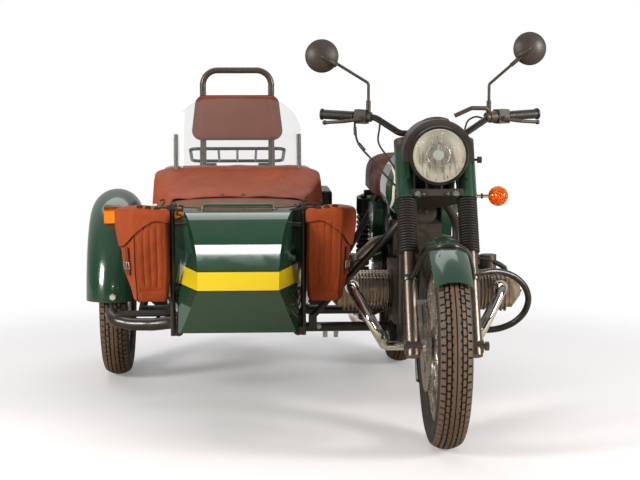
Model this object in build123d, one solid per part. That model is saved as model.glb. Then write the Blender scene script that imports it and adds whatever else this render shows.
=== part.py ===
# Sidecar motorcycle: a flat-twin motorcycle with a one-seat sidecar on its right side.
# Millimetres, +Z up. While it is modelled, X = 0 is the motorcycle's centre plane, +X is the
# rider's left, Y = 0 is the front axle, +Y runs rearwards and Z = 0 is the ground.
# At the end everything moves so that the origin is the middle of the footprint.
from build123d import *
from math import asin, cos, radians, sin, sqrt, tan
import os

# Clearances
seat_gap = 0.3        # between pieces that bolt or press together
run_gap = 0.05        # radial, shaft in a turning hub
soft_gap = 0.5        # under cushions, bags and cloth

# Wheels
wheelbase = 1500.0
side_track = 1140.0       # motorcycle centre plane to sidecar wheel
side_lead = 220.0         # sidecar axle ahead of the rear axle
tyre_radius = 331.0
tyre_width = 110.0
bead_radius = 232.0
bead_half = 30.0
flange_height = 9.0
rim_wall = 4.0
spoke_count = 36
spoke_radius = 2.0
hub_flange_radius = 58.0
hub_flange_x = 34.0
hub_body_radius = 33.0
axle_radius = 10.0

# Front fork
rake = 27.0               # degrees from upright
fork_half = 102.0         # centre plane to each leg
fork_offset = 55.0        # legs ahead of the steering axis
lower_radius = 23.0
stanchion_radius = 18.0
gaiter_radius = 34.0
shroud_radius = 34.0
shroud_wall = 3.0
leg_bottom_s = -34.0      # distances along a leg from the axle
clamp_s = 225.0
gaiter_bottom_s = 321.0
shroud_bottom_s = 511.0
shroud_top_s = 702.0
yoke_thickness = 24.0
stem_radius = 14.0
head_radius = 29.0

# Headlamp and nacelle
lamp_z = 939.0
lamp_front_y = 165.0
lamp_radius = 99.0
lens_radius = 88.0
lamp_bucket_y = 262.0
nacelle_radius = 118.0
nacelle_back_y = 312.0

# Handlebar
bar_radius = 11.0
bar_end_x = 372.0
grip_length = 118.0
grip_radius = 16.5

# Engine
crank_z = 425.0
sump_drop = 148.0         # crankshaft to the underside of the sump
cyl_y = 610.0
cyl_stagger = 18.0        # left cylinder sits this far ahead, the right one behind
block_half = 118.0
fin_radius = 71.0
fin_count = 9
fin_pitch = 12.0
fin_thickness = 3.2
barrel_radius = 50.0
head_length = 64.0
cover_length = 44.0
header_radius = 20.0
header_x = 152.0
header_z = 258.0
crossover_y = 396.0
head_fin_y = 150.0        # length of a head's fins fore and aft
muffler_x = 188.0
muffler_radius = 44.0
muffler_front_y = 1032.0
muffler_length = 640.0

# Motorcycle frame and body
frame_tube = 15.0
cradle_x = 96.0
cradle_z = 236.0
down_y = 430.0
pivot_y = 1060.0
seat_rail_z = 722.0
swing_x = 132.0
swing_y = 1098.0
swing_z = 330.0
swing_tube = 18.0
drive_face = 84.0         # centre plane to the inner face of the bevel box
shock_x = 156.0
tank_front_y = 440.0
tank_rear_y = 842.0
tank_half = 143.0
tank_low_z = 702.0
tank_top_z = 925.0
seat_front_y = 846.0
seat_rear_y = 1452.0
seat_half = 152.0
seat_low_z = 735.5
seat_top_z = 838.0
guard_wall = 2.5
rear_guard_radius = 366.0
plate_z = 656.0
plate_hole_x = 70.0
plate_hole_radius = 3.5

# Sidecar
side_x = -665.0           # the tub's centre plane
side_y = wheelbase - side_lead
tub_floor_z = 336.0
tub_wall = 5.0
tub_nose_y = 205.0
tub_tail_y = 2080.0
cowl_z = 742.0
rim_z = 812.0
cockpit_front_y = 500.0
cockpit_rear_y = 1470.0
cockpit_half = 205.0
bulkhead_y = 1500.0
lid_front_y = 1590.0
lid_rear_y = 1985.0
lid_half = 205.0
lid_seam = 3.0
chassis_tube = 18.5
chassis_z = 296.0
chassis_half = 212.0
chassis_front_y = 560.0
chassis_rear_y = 1800.0
link_front_y = 600.0      # cross tubes that reach the motorcycle
link_rear_y = 985.0
strut_rear_y = 1200.0
clamp_x = 124.0
rack_x = 224.0
rack_y = 372.0
bumper_radius = 23.0
side_guard_radius = 405.0
side_guard_half = 98.0
rack_tube = 9.0
bag_y_range = (330.0, 452.0)
bag_z_range = (430.0, 748.0)
bag_corner = 24.0
bag_outer_x = -1083.0     # far face of the bag on the wheel side
bag_inner_x = -262.0      # far face of the bag on the motorcycle side

rake_sin = sin(radians(rake))
rake_cos = cos(radians(rake))


def block(x_range, y_range, z_range):
    # a plain box between two limits along each axis
    size = [b - a for a, b in (x_range, y_range, z_range)]
    middle = [(a + b) / 2 for a, b in (x_range, y_range, z_range)]
    return Pos(*middle) * Box(*size)


def rod(start, end, radius):
    # a straight round bar between two points
    run = Vector(*end) - Vector(*start)
    base = Plane(origin=start, z_dir=run)
    return base * Cylinder(radius, run.length, align=(Align.CENTER, Align.CENTER, Align.MIN))


def tube(points, radius, bend):
    # a round bar along straight runs joined by arcs; bend is one radius or one for each corner
    path = FilletPolyline(*points, radius=bend)
    start = Plane(origin=path @ 0, z_dir=path % 0)
    return sweep(start * Circle(radius), path=path)


def outline(edges):
    return make_face(edges)


def largest(shape):
    # the biggest solid that a cut leaves
    return max(shape.solids(), key=lambda piece: piece.volume)


def cap_arc(radius, height, base):
    # half of a shallow dome, from its crown on the axis out to its edge
    ball = (radius ** 2 + height ** 2) / (2 * height)
    half = radius / 2
    rise = ball - sqrt(ball ** 2 - half ** 2)
    return ThreePointArc((0, base - height), (half, base - height + rise), (radius, base))


def crown_arc(radius, height, base):
    # the same dome bulging the other way
    ball = (radius ** 2 + height ** 2) / (2 * height)
    half = radius / 2
    rise = ball - sqrt(ball ** 2 - half ** 2)
    return ThreePointArc((0, base + height), (half, base + height - rise), (radius, base))


def fork_plane(x, s):
    # square to a fork leg at distance s up from the axle; its Y points rearwards
    origin = (x, s * rake_sin, tyre_radius + s * rake_cos)
    return Plane(origin=origin, x_dir=(1, 0, 0), z_dir=(0, rake_sin, rake_cos))


def collar(plane, radius, length, bore=0.0):
    ring = Cylinder(radius, length, align=(Align.CENTER, Align.CENTER, Align.MIN))
    if bore:
        ring -= Cylinder(bore, 3 * length)
    return plane * ring


def turned(profile, axis=Axis.X, arc=360.0):
    return revolve(profile, axis=axis, revolution_arc=arc)


# Wheels, each built round the X axis at the origin
def tyre_ring():
    crown = tyre_width / 2
    shoulder = (0.78 * crown, tyre_radius - 14.0)
    seat = bead_radius + flange_height
    edges = Polyline((-bead_half, seat), (-bead_half, bead_radius), (bead_half, bead_radius),
                     (bead_half, seat))
    edges += ThreePointArc((bead_half, seat), (crown, (seat + shoulder[1]) / 2 + 6), shoulder)
    edges += ThreePointArc(shoulder, (0, tyre_radius), (-shoulder[0], shoulder[1]))
    edges += ThreePointArc((-shoulder[0], shoulder[1]), (-crown, (seat + shoulder[1]) / 2 + 6),
                           (-bead_half, seat))
    return turned(Plane.XZ * outline(edges))


def rim_ring():
    seat = bead_radius - seat_gap
    lip = bead_radius + flange_height
    inside = bead_half + seat_gap
    well = seat - 10.0
    half = [(0, well), (10, well), (16, seat), (inside, seat), (inside, lip),
            (inside + rim_wall, lip), (inside + rim_wall, seat - rim_wall), (18, seat - rim_wall),
            (12, well - rim_wall), (0, well - rim_wall)]
    face = outline(Polyline(*half, close=True))
    return turned(Plane.XZ * (face + mirror(face, about=Plane.YZ)))


def spokes():
    # crossed lacing: each spoke leaves its flange along a tangent
    rim_r = bead_radius - 12.0
    bars = []
    for k in range(spoke_count):
        side = 1 if k % 2 else -1
        lean = 1 if (k // 2) % 2 else -1
        at_rim = radians(k * 360.0 / spoke_count)
        at_hub = at_rim + lean * radians(52.0)
        start = (side * hub_flange_x, (hub_flange_radius - 6) * cos(at_hub),
                 (hub_flange_radius - 6) * sin(at_hub))
        end = (side * 5.0, rim_r * cos(at_rim), rim_r * sin(at_rim))
        bars.append(rod(start, end, spoke_radius))
    return bars


def hub(inner_x, outer_x):
    # a drum hub between two faces, bored for the axle
    body = hub_body_radius
    flange = hub_flange_radius
    points = [(inner_x, axle_radius + run_gap), (inner_x, 24), (-hub_flange_x - 14, 26),
              (-hub_flange_x - 4, flange), (-hub_flange_x + 4, flange), (-hub_flange_x + 10, body),
              (hub_flange_x - 10, body), (hub_flange_x - 4, flange), (hub_flange_x + 4, flange),
              (hub_flange_x + 14, 26), (outer_x, 24), (outer_x, axle_radius + run_gap)]
    return turned(Plane.XZ * outline(Polyline(*points, close=True)))


def wheel_core(inner_x, outer_x, extra=None):
    core = rim_ring() + hub(inner_x, outer_x)
    core += spokes()
    if extra is not None:
        core += extra
    return core


disc_radius = 146.0
disc_x = -60.0
disc_thickness = 5.0


def brake_disc():
    ring = Cylinder(disc_radius, disc_thickness) - Cylinder(disc_radius - 42, 2 * disc_thickness)
    carrier = Cylinder(disc_radius - 40, disc_thickness) - Cylinder(22, 2 * disc_thickness)
    for k in range(5):
        window = Rot(Z=72 * k) * Pos(68, 0, 0) * Cylinder(22, 3 * disc_thickness)
        carrier -= window
    return Pos(disc_x, 0, 0) * Rot(Y=90) * (ring + carrier)


def at_front(shape):
    return Pos(0, 0, tyre_radius) * shape


def at_rear(shape):
    return Pos(0, wheelbase, tyre_radius) * shape


def at_side(shape):
    return Pos(-side_track, side_y, tyre_radius) * shape


# A curved mudguard: an arched strip turned about the wheel's axle
def guard_strip(half, crown, drop, wall, start, arc):
    # start is degrees ahead of straight up where the strip begins, arc how far it runs back
    low = crown - drop
    outer = ThreePointArc((-half, low), (0, crown), (half, low))
    inner = ThreePointArc((half - wall, low), (0, crown - wall), (-half + wall, low))
    edges = outer + Line((half, low), (half - wall, low)) + inner
    edges += Line((-half + wall, low), (-half, low))
    face = Plane.XZ * outline(edges)
    return turned(Rot(X=start) * face, arc=-arc)


# Steering
def fork_legs():
    legs = Part()
    lower_length = gaiter_bottom_s - leg_bottom_s + 20
    for side in (-1, 1):
        x = side * fork_half
        legs += collar(fork_plane(x, leg_bottom_s), lower_radius, lower_length)
        legs += collar(fork_plane(x, 0), stanchion_radius, shroud_top_s + yoke_thickness - 2)
        legs += Pos(x, 0, tyre_radius) * Rot(Y=90) * Cylinder(24, 2 * lower_radius + 4)
    axle = Pos(8, 0, tyre_radius) * Rot(Y=90) * Cylinder(axle_radius, 2 * fork_half + 74)
    legs += axle
    legs += Pos(fork_half + 38, 0, tyre_radius) * Rot(Y=90) * Cylinder(15, 12)
    return legs


def fork_gaiters():
    # pleated rubber sleeves between the lowers and the shrouds
    pleats = 14
    length = shroud_bottom_s - gaiter_bottom_s - seat_gap
    pitch = length / pleats
    bore = lower_radius + seat_gap
    points = [(bore, 0)]
    for k in range(pleats):
        points += [(gaiter_radius - 5, k * pitch), (gaiter_radius, (k + 0.5) * pitch)]
    points += [(gaiter_radius - 5, length), (bore, length)]
    sleeve = turned(Plane.XZ * outline(Polyline(*points, close=True)), axis=Axis.Z)
    both = Part()
    for side in (-1, 1):
        both += fork_plane(side * fork_half, gaiter_bottom_s) * sleeve
    return both


def fork_shrouds():
    # painted covers round the upper legs, slotted for the lower yoke, with lugs for the lamp
    length = shroud_top_s - shroud_bottom_s
    slot = yoke_plate(lower_yoke_s - seat_gap, shroud_radius - shroud_wall - seat_gap,
                      yoke_thickness + 2 * seat_gap, seat_gap)
    both = Part()
    for side in (-1, 1):
        cup = collar(fork_plane(side * fork_half, shroud_bottom_s), shroud_radius, length)
        cup += fork_plane(side * fork_half, shroud_bottom_s + 56) * (
            Pos(-side * 4, -shroud_radius - 6, 29) * Box(9, 28, 58))
        cup -= collar(fork_plane(side * fork_half, shroud_bottom_s - 5),
                      shroud_radius - shroud_wall, length + 10)
        both += cup - slot
    return both


lower_yoke_s = shroud_bottom_s + 3.0
upper_yoke_s = shroud_top_s + seat_gap


def yoke_plate(s, leg_r, thickness, grow):
    # the outline round both legs and the steering stem
    discs = [Pos(side * fork_half, 0) * Circle(leg_r + grow) for side in (-1, 1)]
    discs.append(Pos(0, fork_offset) * Circle(28 + grow))
    hull = make_hull([e for d in discs for e in d.edges()])
    return fork_plane(0, s) * extrude(hull, amount=thickness)


def yoke(s, leg_r):
    plate = yoke_plate(s, leg_r, yoke_thickness, 0)
    for side in (-1, 1):
        plate -= collar(fork_plane(side * fork_half, s - 5), stanchion_radius + seat_gap, 60)
    return plate


def fork_yokes():
    low = yoke(lower_yoke_s, shroud_radius - shroud_wall - seat_gap)
    top = yoke(upper_yoke_s, shroud_radius)
    stem_plane = Plane(origin=fork_plane(0, lower_yoke_s).from_local_coords((0, fork_offset, 0)),
                       x_dir=(1, 0, 0), z_dir=(0, rake_sin, rake_cos))
    stem = collar(stem_plane, stem_radius, upper_yoke_s - lower_yoke_s + yoke_thickness + 10)
    risers = Part()
    for side in (-1, 1):
        risers += fork_plane(side * 45, upper_yoke_s + yoke_thickness) * (
            Pos(0, 12, riser_height / 2) * Box(24, 30, riser_height + bar_radius))
    risers -= tube(bar_path(), bar_radius + seat_gap, 45)
    return low + top + stem + risers


riser_height = 22.0
bar_s = upper_yoke_s + yoke_thickness + riser_height + bar_radius
bar_mid = fork_plane(0, bar_s).from_local_coords((0, 12, 0))


def bar_path():
    # from the left end to the right, the middle straight on the risers
    y = bar_mid.Y
    z = bar_mid.Z
    half = [(bar_end_x, y + 92, z + 62), (196, y + 20, z + 54), (112, y, z)]
    left = [(-x, yy, zz) for x, yy, zz in half]
    return left + half[::-1]


def handlebar():
    return tube(bar_path(), bar_radius, 45)


def grip_line(side):
    pts = bar_path()
    outer, inner = (pts[-1], pts[-2]) if side > 0 else (pts[0], pts[1])
    a = Vector(*outer)
    d = (Vector(*inner) - a).normalized()
    return a, d


def bar_grips():
    both = Part()
    for side in (-1, 1):
        a, d = grip_line(side)
        plane = Plane(origin=a - d * 4, z_dir=d)
        both += collar(plane, grip_radius, grip_length, bar_radius + seat_gap)
        both += collar(plane, grip_radius + 3, 6)
        both -= collar(Plane(origin=a, z_dir=d), bar_radius + seat_gap, grip_length + 10)
    return both


def bar_controls():
    # perch, switch box and lever on each side, and the parking-brake lever on the left bar
    parts = Part()
    for side in (-1, 1):
        a, d = grip_line(side)
        plane = Plane(origin=a + d * (grip_length + 2), z_dir=d)
        perch = collar(plane, 22, 34)
        switch = collar(Plane(origin=a + d * (grip_length + 8), z_dir=d), 19, 40)
        box = Plane(origin=a + d * (grip_length + 24), x_dir=(0, 0, 1), z_dir=d) * Box(48, 44, 40)
        group = perch + switch + box
        pivot = a + d * (grip_length + 20) + Vector(0, -30, -8)
        tip = a + d * 6 + Vector(0, -46, -26)
        middle = (pivot + tip) * 0.5 + Vector(0, -10, -2)
        lever = tube([pivot, middle, tip], 6, 60)
        lever += Pos(tip.X, tip.Y, tip.Z) * Sphere(8.5)
        group += lever
        group += rod(a + d * (grip_length + 20), pivot, 9)
        if side > 0:
            # the parking-brake lever points inwards over the bar
            root = a + d * (grip_length + 60)
            bend = root + Vector(-22, -14, 30)
            end = Vector(74, bar_mid.Y - 6, bar_mid.Z + 60)
            group += tube([root, bend, Vector(132, bar_mid.Y - 2, bar_mid.Z + 86), end], 7.5,
                          [16, 30])
            group += collar(Plane(origin=a + d * (grip_length + 48), z_dir=d), 20, 24)
        group -= tube(bar_path(), bar_radius + seat_gap, 45)
        parts += group
    return parts


# Each mirror: side, stem foot, top of the straight stem, end of the slanted stem, head centre
mirror_rows = [
    (-1, (-218, 1085), (-218, 1172), (-326, 1238), (-377, 1264)),
    (1, (194, 1082), (194, 1168), (268, 1232), (333, 1289)),
]
mirror_radius = 57.0
mirror_depth = 26.0


def mirrors(controls):
    # ball-jointed stems on clamps round the bar, with dished heads
    both = Part()
    pts = bar_path()
    for side, foot, top, ball, head in mirror_rows:
        inner = Vector(*(pts[-2] if side > 0 else pts[1]))
        outer = Vector(*(pts[-1] if side > 0 else pts[0]))
        t = (foot[0] - inner.X) / (outer.X - inner.X)
        on_bar = inner + (outer - inner) * t
        along = (outer - inner).normalized()
        y = on_bar.Y
        foot_z = on_bar.Z + 12
        stem = tube([(foot[0], y, foot_z), (top[0], y, top[1]), (ball[0], y, ball[1])], 5, 14)
        stem += rod((foot[0], y, foot_z), (foot[0], y, foot_z + 44), 8)
        stem += rod(on_bar - along * 11, on_bar + along * 11, bar_radius + 6)
        centre = Vector(head[0], y - 8, head[1])
        bowl = Line((0, 0), (mirror_radius, 0)) + crown_arc(mirror_radius, mirror_depth, 0)
        bowl += Line((0, mirror_depth), (0, 0))
        shell = turned(Plane.XZ * outline(bowl), axis=Axis.Z)
        plane = Plane(origin=centre + Vector(0, 14, 0), x_dir=(1, 0, 0), z_dir=(0, -1, 0))
        stem += plane * shell
        stem += rod((ball[0], y, ball[1]), (centre.X, y - 4, centre.Z), 7)
        stem -= tube(pts, bar_radius + seat_gap, 45)
        both += largest(stem - controls)
    return both


def headlamp():
    # rim ring and deep bowl, turned about the lamp's axis
    r = lamp_radius
    depth = lamp_bucket_y - lamp_front_y
    edges = Polyline((lens_radius + seat_gap, 0), (r - 4, 0), (r, 6), (r, 26), (r - 7, 30),
                     (r - 9, depth * 0.6))
    edges += ThreePointArc((r - 9, depth * 0.6), (r - 24, depth * 0.92), (62, depth + 14))
    edges += Polyline((62, depth + 14), (0, depth + 26), (0, 84))
    edges += ThreePointArc((0, 84), (54, 62), (lens_radius + seat_gap, 18))
    edges += Line((lens_radius + seat_gap, 18), (lens_radius + seat_gap, 0))
    bowl = turned(Plane.XZ * outline(edges), axis=Axis.Z)
    axis = Plane(origin=(0, lamp_front_y, lamp_z), x_dir=(1, 0, 0), z_dir=(0, 1, 0))
    return axis * bowl


def headlamp_lens():
    # a domed glass that bulges a little ahead of its rim
    r = lens_radius
    edges = cap_arc(r, 17, 0) + Line((r, 0), (r, 8)) + cap_arc(r, 13, 8)
    edges += Line((0, -5), (0, -17))
    dome = turned(Plane.XZ * outline(edges), axis=Axis.Z)
    axis = Plane(origin=(0, lamp_front_y, lamp_z), x_dir=(1, 0, 0), z_dir=(0, 1, 0))
    return axis * dome


def nacelle():
    # a hood over the lamp that holds the speedometer, closed behind by a sloping panel
    front = lamp_front_y + 22
    arch = Circle(nacelle_radius) - Circle(lamp_radius + seat_gap)
    arch -= Pos(0, -nacelle_radius - 22) * Rectangle(4 * nacelle_radius, 2 * nacelle_radius)
    axis = Plane(origin=(0, front, lamp_z), x_dir=(-1, 0, 0), z_dir=(0, 1, 0))
    hood = axis * extrude(arch, amount=nacelle_back_y - front)
    pod = Pos(0, (front + nacelle_back_y) / 2 + 22, lamp_z + nacelle_radius - 34) * Rot(X=-24) * (
        Cylinder(47, 48))
    knob = rod((nacelle_radius - 14, 262, 918), (142, 262, 918), 4)
    knob += rod((140, 262, 918), (154, 262, 918), 11)
    shape = hood + pod + knob
    for side in (-1, 1):
        shape -= collar(fork_plane(side * fork_half, shroud_bottom_s), shroud_radius + seat_gap,
                        shroud_top_s - shroud_bottom_s + yoke_thickness + 1)
    shape -= fork_plane(0, upper_yoke_s - seat_gap) * (
        Pos(0, 20, 40) * Box(2 * fork_half + 2 * shroud_radius + 2, 110, 82))
    bowl = Pos(0, lamp_front_y, lamp_z) * Rot(X=-90) * Cylinder(
        lamp_radius + seat_gap, 120, align=(Align.CENTER, Align.CENTER, Align.MIN))
    return shape - bowl


def front_indicator():
    # one round lamp on a stalk out of the left fork shroud
    z = 798.0
    y = (z - tyre_radius) * tan(radians(rake))
    lamp_x = 208.0
    stalk = rod((fork_half + 20, y, z), (lamp_x - 20, y - 6, z), 7)
    stalk -= collar(fork_plane(fork_half, shroud_bottom_s), shroud_radius + seat_gap, 100)
    bowl = Polyline((0, 0), (26, 0), (33, 22), (33, 34)) + crown_arc(33, 14, 34)
    bowl += Line((0, 48), (0, 0))
    lamp = turned(Plane.XZ * outline(bowl), axis=Axis.Z)
    plane = Plane(origin=(lamp_x, y, z), x_dir=(1, 0, 0), z_dir=(0, -1, 0))
    return stalk + plane * lamp


front_guard_half = 61.0
front_guard_crown = 356.0
front_guard_drop = 34.0


def front_mudguard():
    strip = guard_strip(front_guard_half, front_guard_crown, front_guard_drop, guard_wall, 46, 168)
    return at_front(strip)


def fork_brace():
    # hoop over the mudguard on a split clamp round each lower leg
    top_z = 706.0
    x = fork_half - lower_radius - 9
    low = fork_plane(x, clamp_s + 9).origin
    y = low.Y - 20
    points = [(-x, low.Y, low.Z), (-x + 1, y, low.Z + 90), (-65, y - 40, top_z),
              (65, y - 40, top_z), (x - 1, y, low.Z + 90), (x, low.Y, low.Z)]
    brace = tube(points, 6, [40, 30, 30, 40])
    pad = rod((0, y - 40, top_z), (0, y - 40, top_z - 40), 8)
    brace += pad - at_front(Rot(Y=90) * Cylinder(front_guard_crown + seat_gap, 200))
    for side in (-1, 1):
        brace += collar(fork_plane(side * fork_half, clamp_s), lower_radius + 5, 18)
    for side in (-1, 1):
        brace -= collar(fork_plane(side * fork_half, clamp_s - 20), lower_radius + seat_gap, 90)
    return brace


def brake_caliper():
    # twin-piston block astride the disc behind the right-hand leg, on a lug from it
    body = Pos(disc_x, 96, tyre_radius + 86) * Rot(X=-rake) * Box(44, 58, 92)
    body += Pos(disc_x - 24, 70, tyre_radius + 92) * Rot(X=-rake) * Box(16, 60, 40)
    body -= Pos(disc_x, 0, tyre_radius) * Rot(Y=90) * Cylinder(disc_radius + 4,
                                                               disc_thickness + 4)
    body -= collar(fork_plane(-fork_half, 0), lower_radius + seat_gap, 300)
    return body


def control_cables():
    # brake and clutch cables from the levers in to the sides of the nacelle
    cables = Part()
    for side in (-1, 1):
        a, d = grip_line(side)
        start = a + d * (grip_length + 40) + Vector(0, -24, -26)
        end = (side * (nacelle_radius + seat_gap), 236, lamp_z - 2)
        near = (side * (nacelle_radius + 46), 236, lamp_z - 2)
        points = [tuple(start), tuple(start + Vector(-side * 4, -16, -48)), near, end]
        cables += tube(points, 3.2, [36, 24])
    return cables


# Motorcycle frame
def head_tube():
    plane = Plane(origin=fork_plane(0, lower_yoke_s + yoke_thickness + seat_gap)
                  .from_local_coords((0, fork_offset, 0)), x_dir=(1, 0, 0),
                  z_dir=(0, rake_sin, rake_cos))
    length = upper_yoke_s - lower_yoke_s - yoke_thickness - 2 * seat_gap
    return collar(plane, head_radius, length), plane, length


def cradle_tube(side, radius):
    # down tube, lower rail and rear upright in one bent tube
    plane = head_tube()[1]
    low = plane.from_local_coords((0, 0, 28))
    x = side * cradle_x
    points = [(side * 16, low.Y + 6, low.Z), (x, down_y + 10, 690), (x, down_y, cradle_z),
              (x, pivot_y, cradle_z), (x, pivot_y, 500), (x, pivot_y + 110, seat_rail_z)]
    return tube(points, radius, [90, 110, 90, 80])


def top_rail(side, radius):
    # from the head tube back under the tank and the saddle
    plane, length = head_tube()[1:]
    high = plane.from_local_coords((0, 0, length - 26))
    x = side * cradle_x
    points = [(side * 18, high.Y + 6, high.Z), (side * 46, 520, 860), (side * 62, 760, 742),
              (x, 1000, seat_rail_z), (x, wheelbase, seat_rail_z + 6)]
    return tube(points, radius, [80, 90, 120])


def main_frame():
    head, plane, length = head_tube()
    frame = head
    for side in (-1, 1):
        x = side * cradle_x
        frame += cradle_tube(side, frame_tube)
        frame += top_rail(side, frame_tube - 2)
        frame += Pos(x, swing_y, swing_z) * Rot(Y=90) * Cylinder(swing_tube + 8, 20)
    for y, z in ((pivot_y + 108, seat_rail_z - 2), (wheelbase - 10, seat_rail_z + 5), (520, cradle_z),
                 (880, cradle_z)):
        frame += rod((-cradle_x, y, z), (cradle_x, y, z), frame_tube - 3)
    for y, rail_z in ((600, 820), (750, 748)):
        # rests for the tank, square under the tunnel's slope
        slope = (tunnel_roof(y) - tunnel_roof(y + 10)) / 10
        z = tunnel_roof(y) - (10 + seat_gap) * sqrt(1 + slope ** 2)
        frame += rod((-62, y, z), (62, y, z), 10)
        for side in (-1, 1):
            frame += rod((side * 56, y, rail_z), (side * 56, y, z), 8)
    for y in (650, 715):
        for side in (-1, 1):
            frame += block(sorted((side * 72, side * 104)), (y - 16, y + 16),
                           (cradle_z, crank_z - sump_drop - seat_gap))
    frame -= Pos(0, swing_y, swing_z) * Rot(Y=90) * Cylinder(swing_tube + seat_gap, 400)
    frame -= plane * Cylinder(stem_radius + run_gap, 3 * length)
    return frame


def engine_block():
    # crankcase, timing cover, sump and gearbox: heavy, and closed inside
    top = crank_z + 128
    low = crank_z - sump_drop
    case = block((-block_half, block_half), (490, 760), (low + 45, top - 30))
    case += Pos(0, 490, crank_z) * Rot(X=90) * Cylinder(104, 26)
    case += Pos(0, 474, crank_z + 70) * Rot(X=90) * Cylinder(52, 44)
    case += block((-96, 96), (500, 740), (low, low + 60))
    case += block((-84, 84), (505, 745), (top - 60, top))
    box = block((-92, 92), (760, 985), (crank_z - 108, crank_z + 92))
    box += Pos(0, 772, crank_z) * Rot(X=90) * Cylinder(126, 40)
    case += box
    for side in (-1, 1):
        y = cyl_y - side * cyl_stagger
        case += Pos(side * (block_half - 2), y, crank_z) * Rot(Y=90) * Cylinder(fin_radius - 4, 20)
    for k in range(-3, 4):
        # ribs along the sump and bars across the front cover
        case += block((k * 26 - 3, k * 26 + 3), (494, 746), (low - 0.05, low + 52))
    for k in (-1, 0, 1):
        case += block((-64, 64), (448, 470), (crank_z + 64 + k * 18, crank_z + 70 + k * 18))
    return case


cyl_start = block_half + 8 + seat_gap
head_start = cyl_start + fin_count * fin_pitch + 2
cover_start = head_start + head_length + seat_gap


def cylinders():
    # finned barrels with heads; the fins are rings on one core
    both = Part()
    for side in (-1, 1):
        core = Cylinder(barrel_radius, fin_count * fin_pitch + 3,
                        align=(Align.CENTER, Align.CENTER, Align.MIN))
        for k in range(fin_count):
            core += Pos(0, 0, 4 + k * fin_pitch) * Cylinder(
                fin_radius, fin_thickness, align=(Align.CENTER, Align.CENTER, Align.MIN))
        head = Pos(0, 0, head_start - cyl_start) * extrude(
            RectangleRounded(118, 112, 26), amount=head_length)
        for k in range(4):
            head += Pos(0, 0, head_start - cyl_start + 4 + k * 15) * extrude(
                RectangleRounded(head_fin_y, 138, 34), amount=fin_thickness)
        core += head
        for k in (-1, 1):
            # the pushrod tubes run through the fins over the barrel
            core += Pos(k * 24, side * 58) * Cylinder(9, head_start - cyl_start + 6, align=(
                Align.CENTER, Align.CENTER, Align.MIN))
        y = cyl_y - side * cyl_stagger
        turn = Plane(origin=(side * cyl_start, y, crank_z), x_dir=(0, 1, 0), z_dir=(side, 0, 0))
        both += turn * core
    return both


def rocker_covers():
    # pointed covers with two sloping faces that meet on a ridge
    both = Part()
    for side in (-1, 1):
        base = RectangleRounded(124, 112, 24)
        crest = RectangleRounded(60, 36, 14)
        rim = extrude(base, amount=10)
        dome = loft([Pos(0, 0, 10) * base, Pos(0, 0, cover_length) * crest], ruled=True)
        y = cyl_y - side * cyl_stagger
        turn = Plane(origin=(side * cover_start, y, crank_z), x_dir=(0, 1, 0), z_dir=(side, 0, 0))
        both += turn * (rim + dome)
    return both


def exhaust_pipes():
    pipes = Part()
    for side in (-1, 1):
        y = cyl_y - side * cyl_stagger
        port_x = side * (head_start + 26)
        port_y = y - head_fin_y / 2 - seat_gap
        points = [(port_x, port_y, crank_z + 24), (port_x, port_y - 54, crank_z + 24),
                  (side * 205, 420, 350), (side * header_x, crossover_y, header_z),
                  (side * header_x, 880, header_z - 6), (side * muffler_x, 1000, header_z - 6),
                  (side * muffler_x, 1056, header_z - 6)]
        pipes += tube(points, header_radius, [48, 60, 58, 90, 60])
        pipes += rod(points[0], (port_x, port_y - 20, crank_z + 24), header_radius + 5)
    pipes += rod((-header_x, crossover_y + 3, header_z + 4), (header_x, crossover_y + 3,
                                                             header_z + 4), header_radius - 3)
    return pipes


def mufflers():
    # long cans with a coned front and a rolled, open tail
    both = Part()
    length = muffler_length
    r = muffler_radius
    socket = header_radius + seat_gap
    points = [(0, 26), (socket, 26), (socket, 0), (socket + 4, 0), (socket + 6, 26), (r, 110),
              (r, length - 60), (r - 8, length), (r - 20, length), (r - 20, length - 90),
              (0, length - 90)]
    body = turned(Plane.XZ * outline(Polyline(*points, close=True)), axis=Axis.Z)
    for side in (-1, 1):
        axis = Plane(origin=(side * muffler_x, muffler_front_y, header_z - 6), x_dir=(1, 0, 0),
                     z_dir=(0, 1, 0))
        both += axis * body
    return both


def intake():
    # air box over the gearbox, a round carburettor on each side and its duct between them
    unit = block((-90, 90), (800, 960), (crank_z + 100, crank_z + 218))
    for side in (-1, 1):
        y = cyl_y - side * cyl_stagger + head_fin_y / 2 + seat_gap
        x = side * (head_start + 22)
        z = crank_z + 22
        unit += rod((x, y, z), (x, y + 10, z), 28)
        unit += rod((x, y + 8, z), (x * 0.97, y + 60, z + 16), 24)
        unit += rod((x * 0.97, y + 48, z - 34), (x * 0.97, y + 48, z + 92), 30)
        unit += tube([(x * 0.97, y + 38, z + 16), (x * 0.95, y + 124, z + 40),
                      (side * 150, y + 168, z + 120), (side * 60, y + 190, z + 138)], 22,
                     [40, 40])
    return unit


def tunnel_roof(y):
    # height of the hollow under the tank, over the frame's backbone
    stations = [(tank_front_y - 30, 905.0), (520.0, 894.0), (790.0, 774.0),
                (tank_rear_y + 20, 760.0)]
    for (y0, z0), (y1, z1) in zip(stations, stations[1:]):
        if y <= y1:
            return z0 + (z1 - z0) * (y - y0) / (y1 - y0)
    return stations[-1][1]


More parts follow.
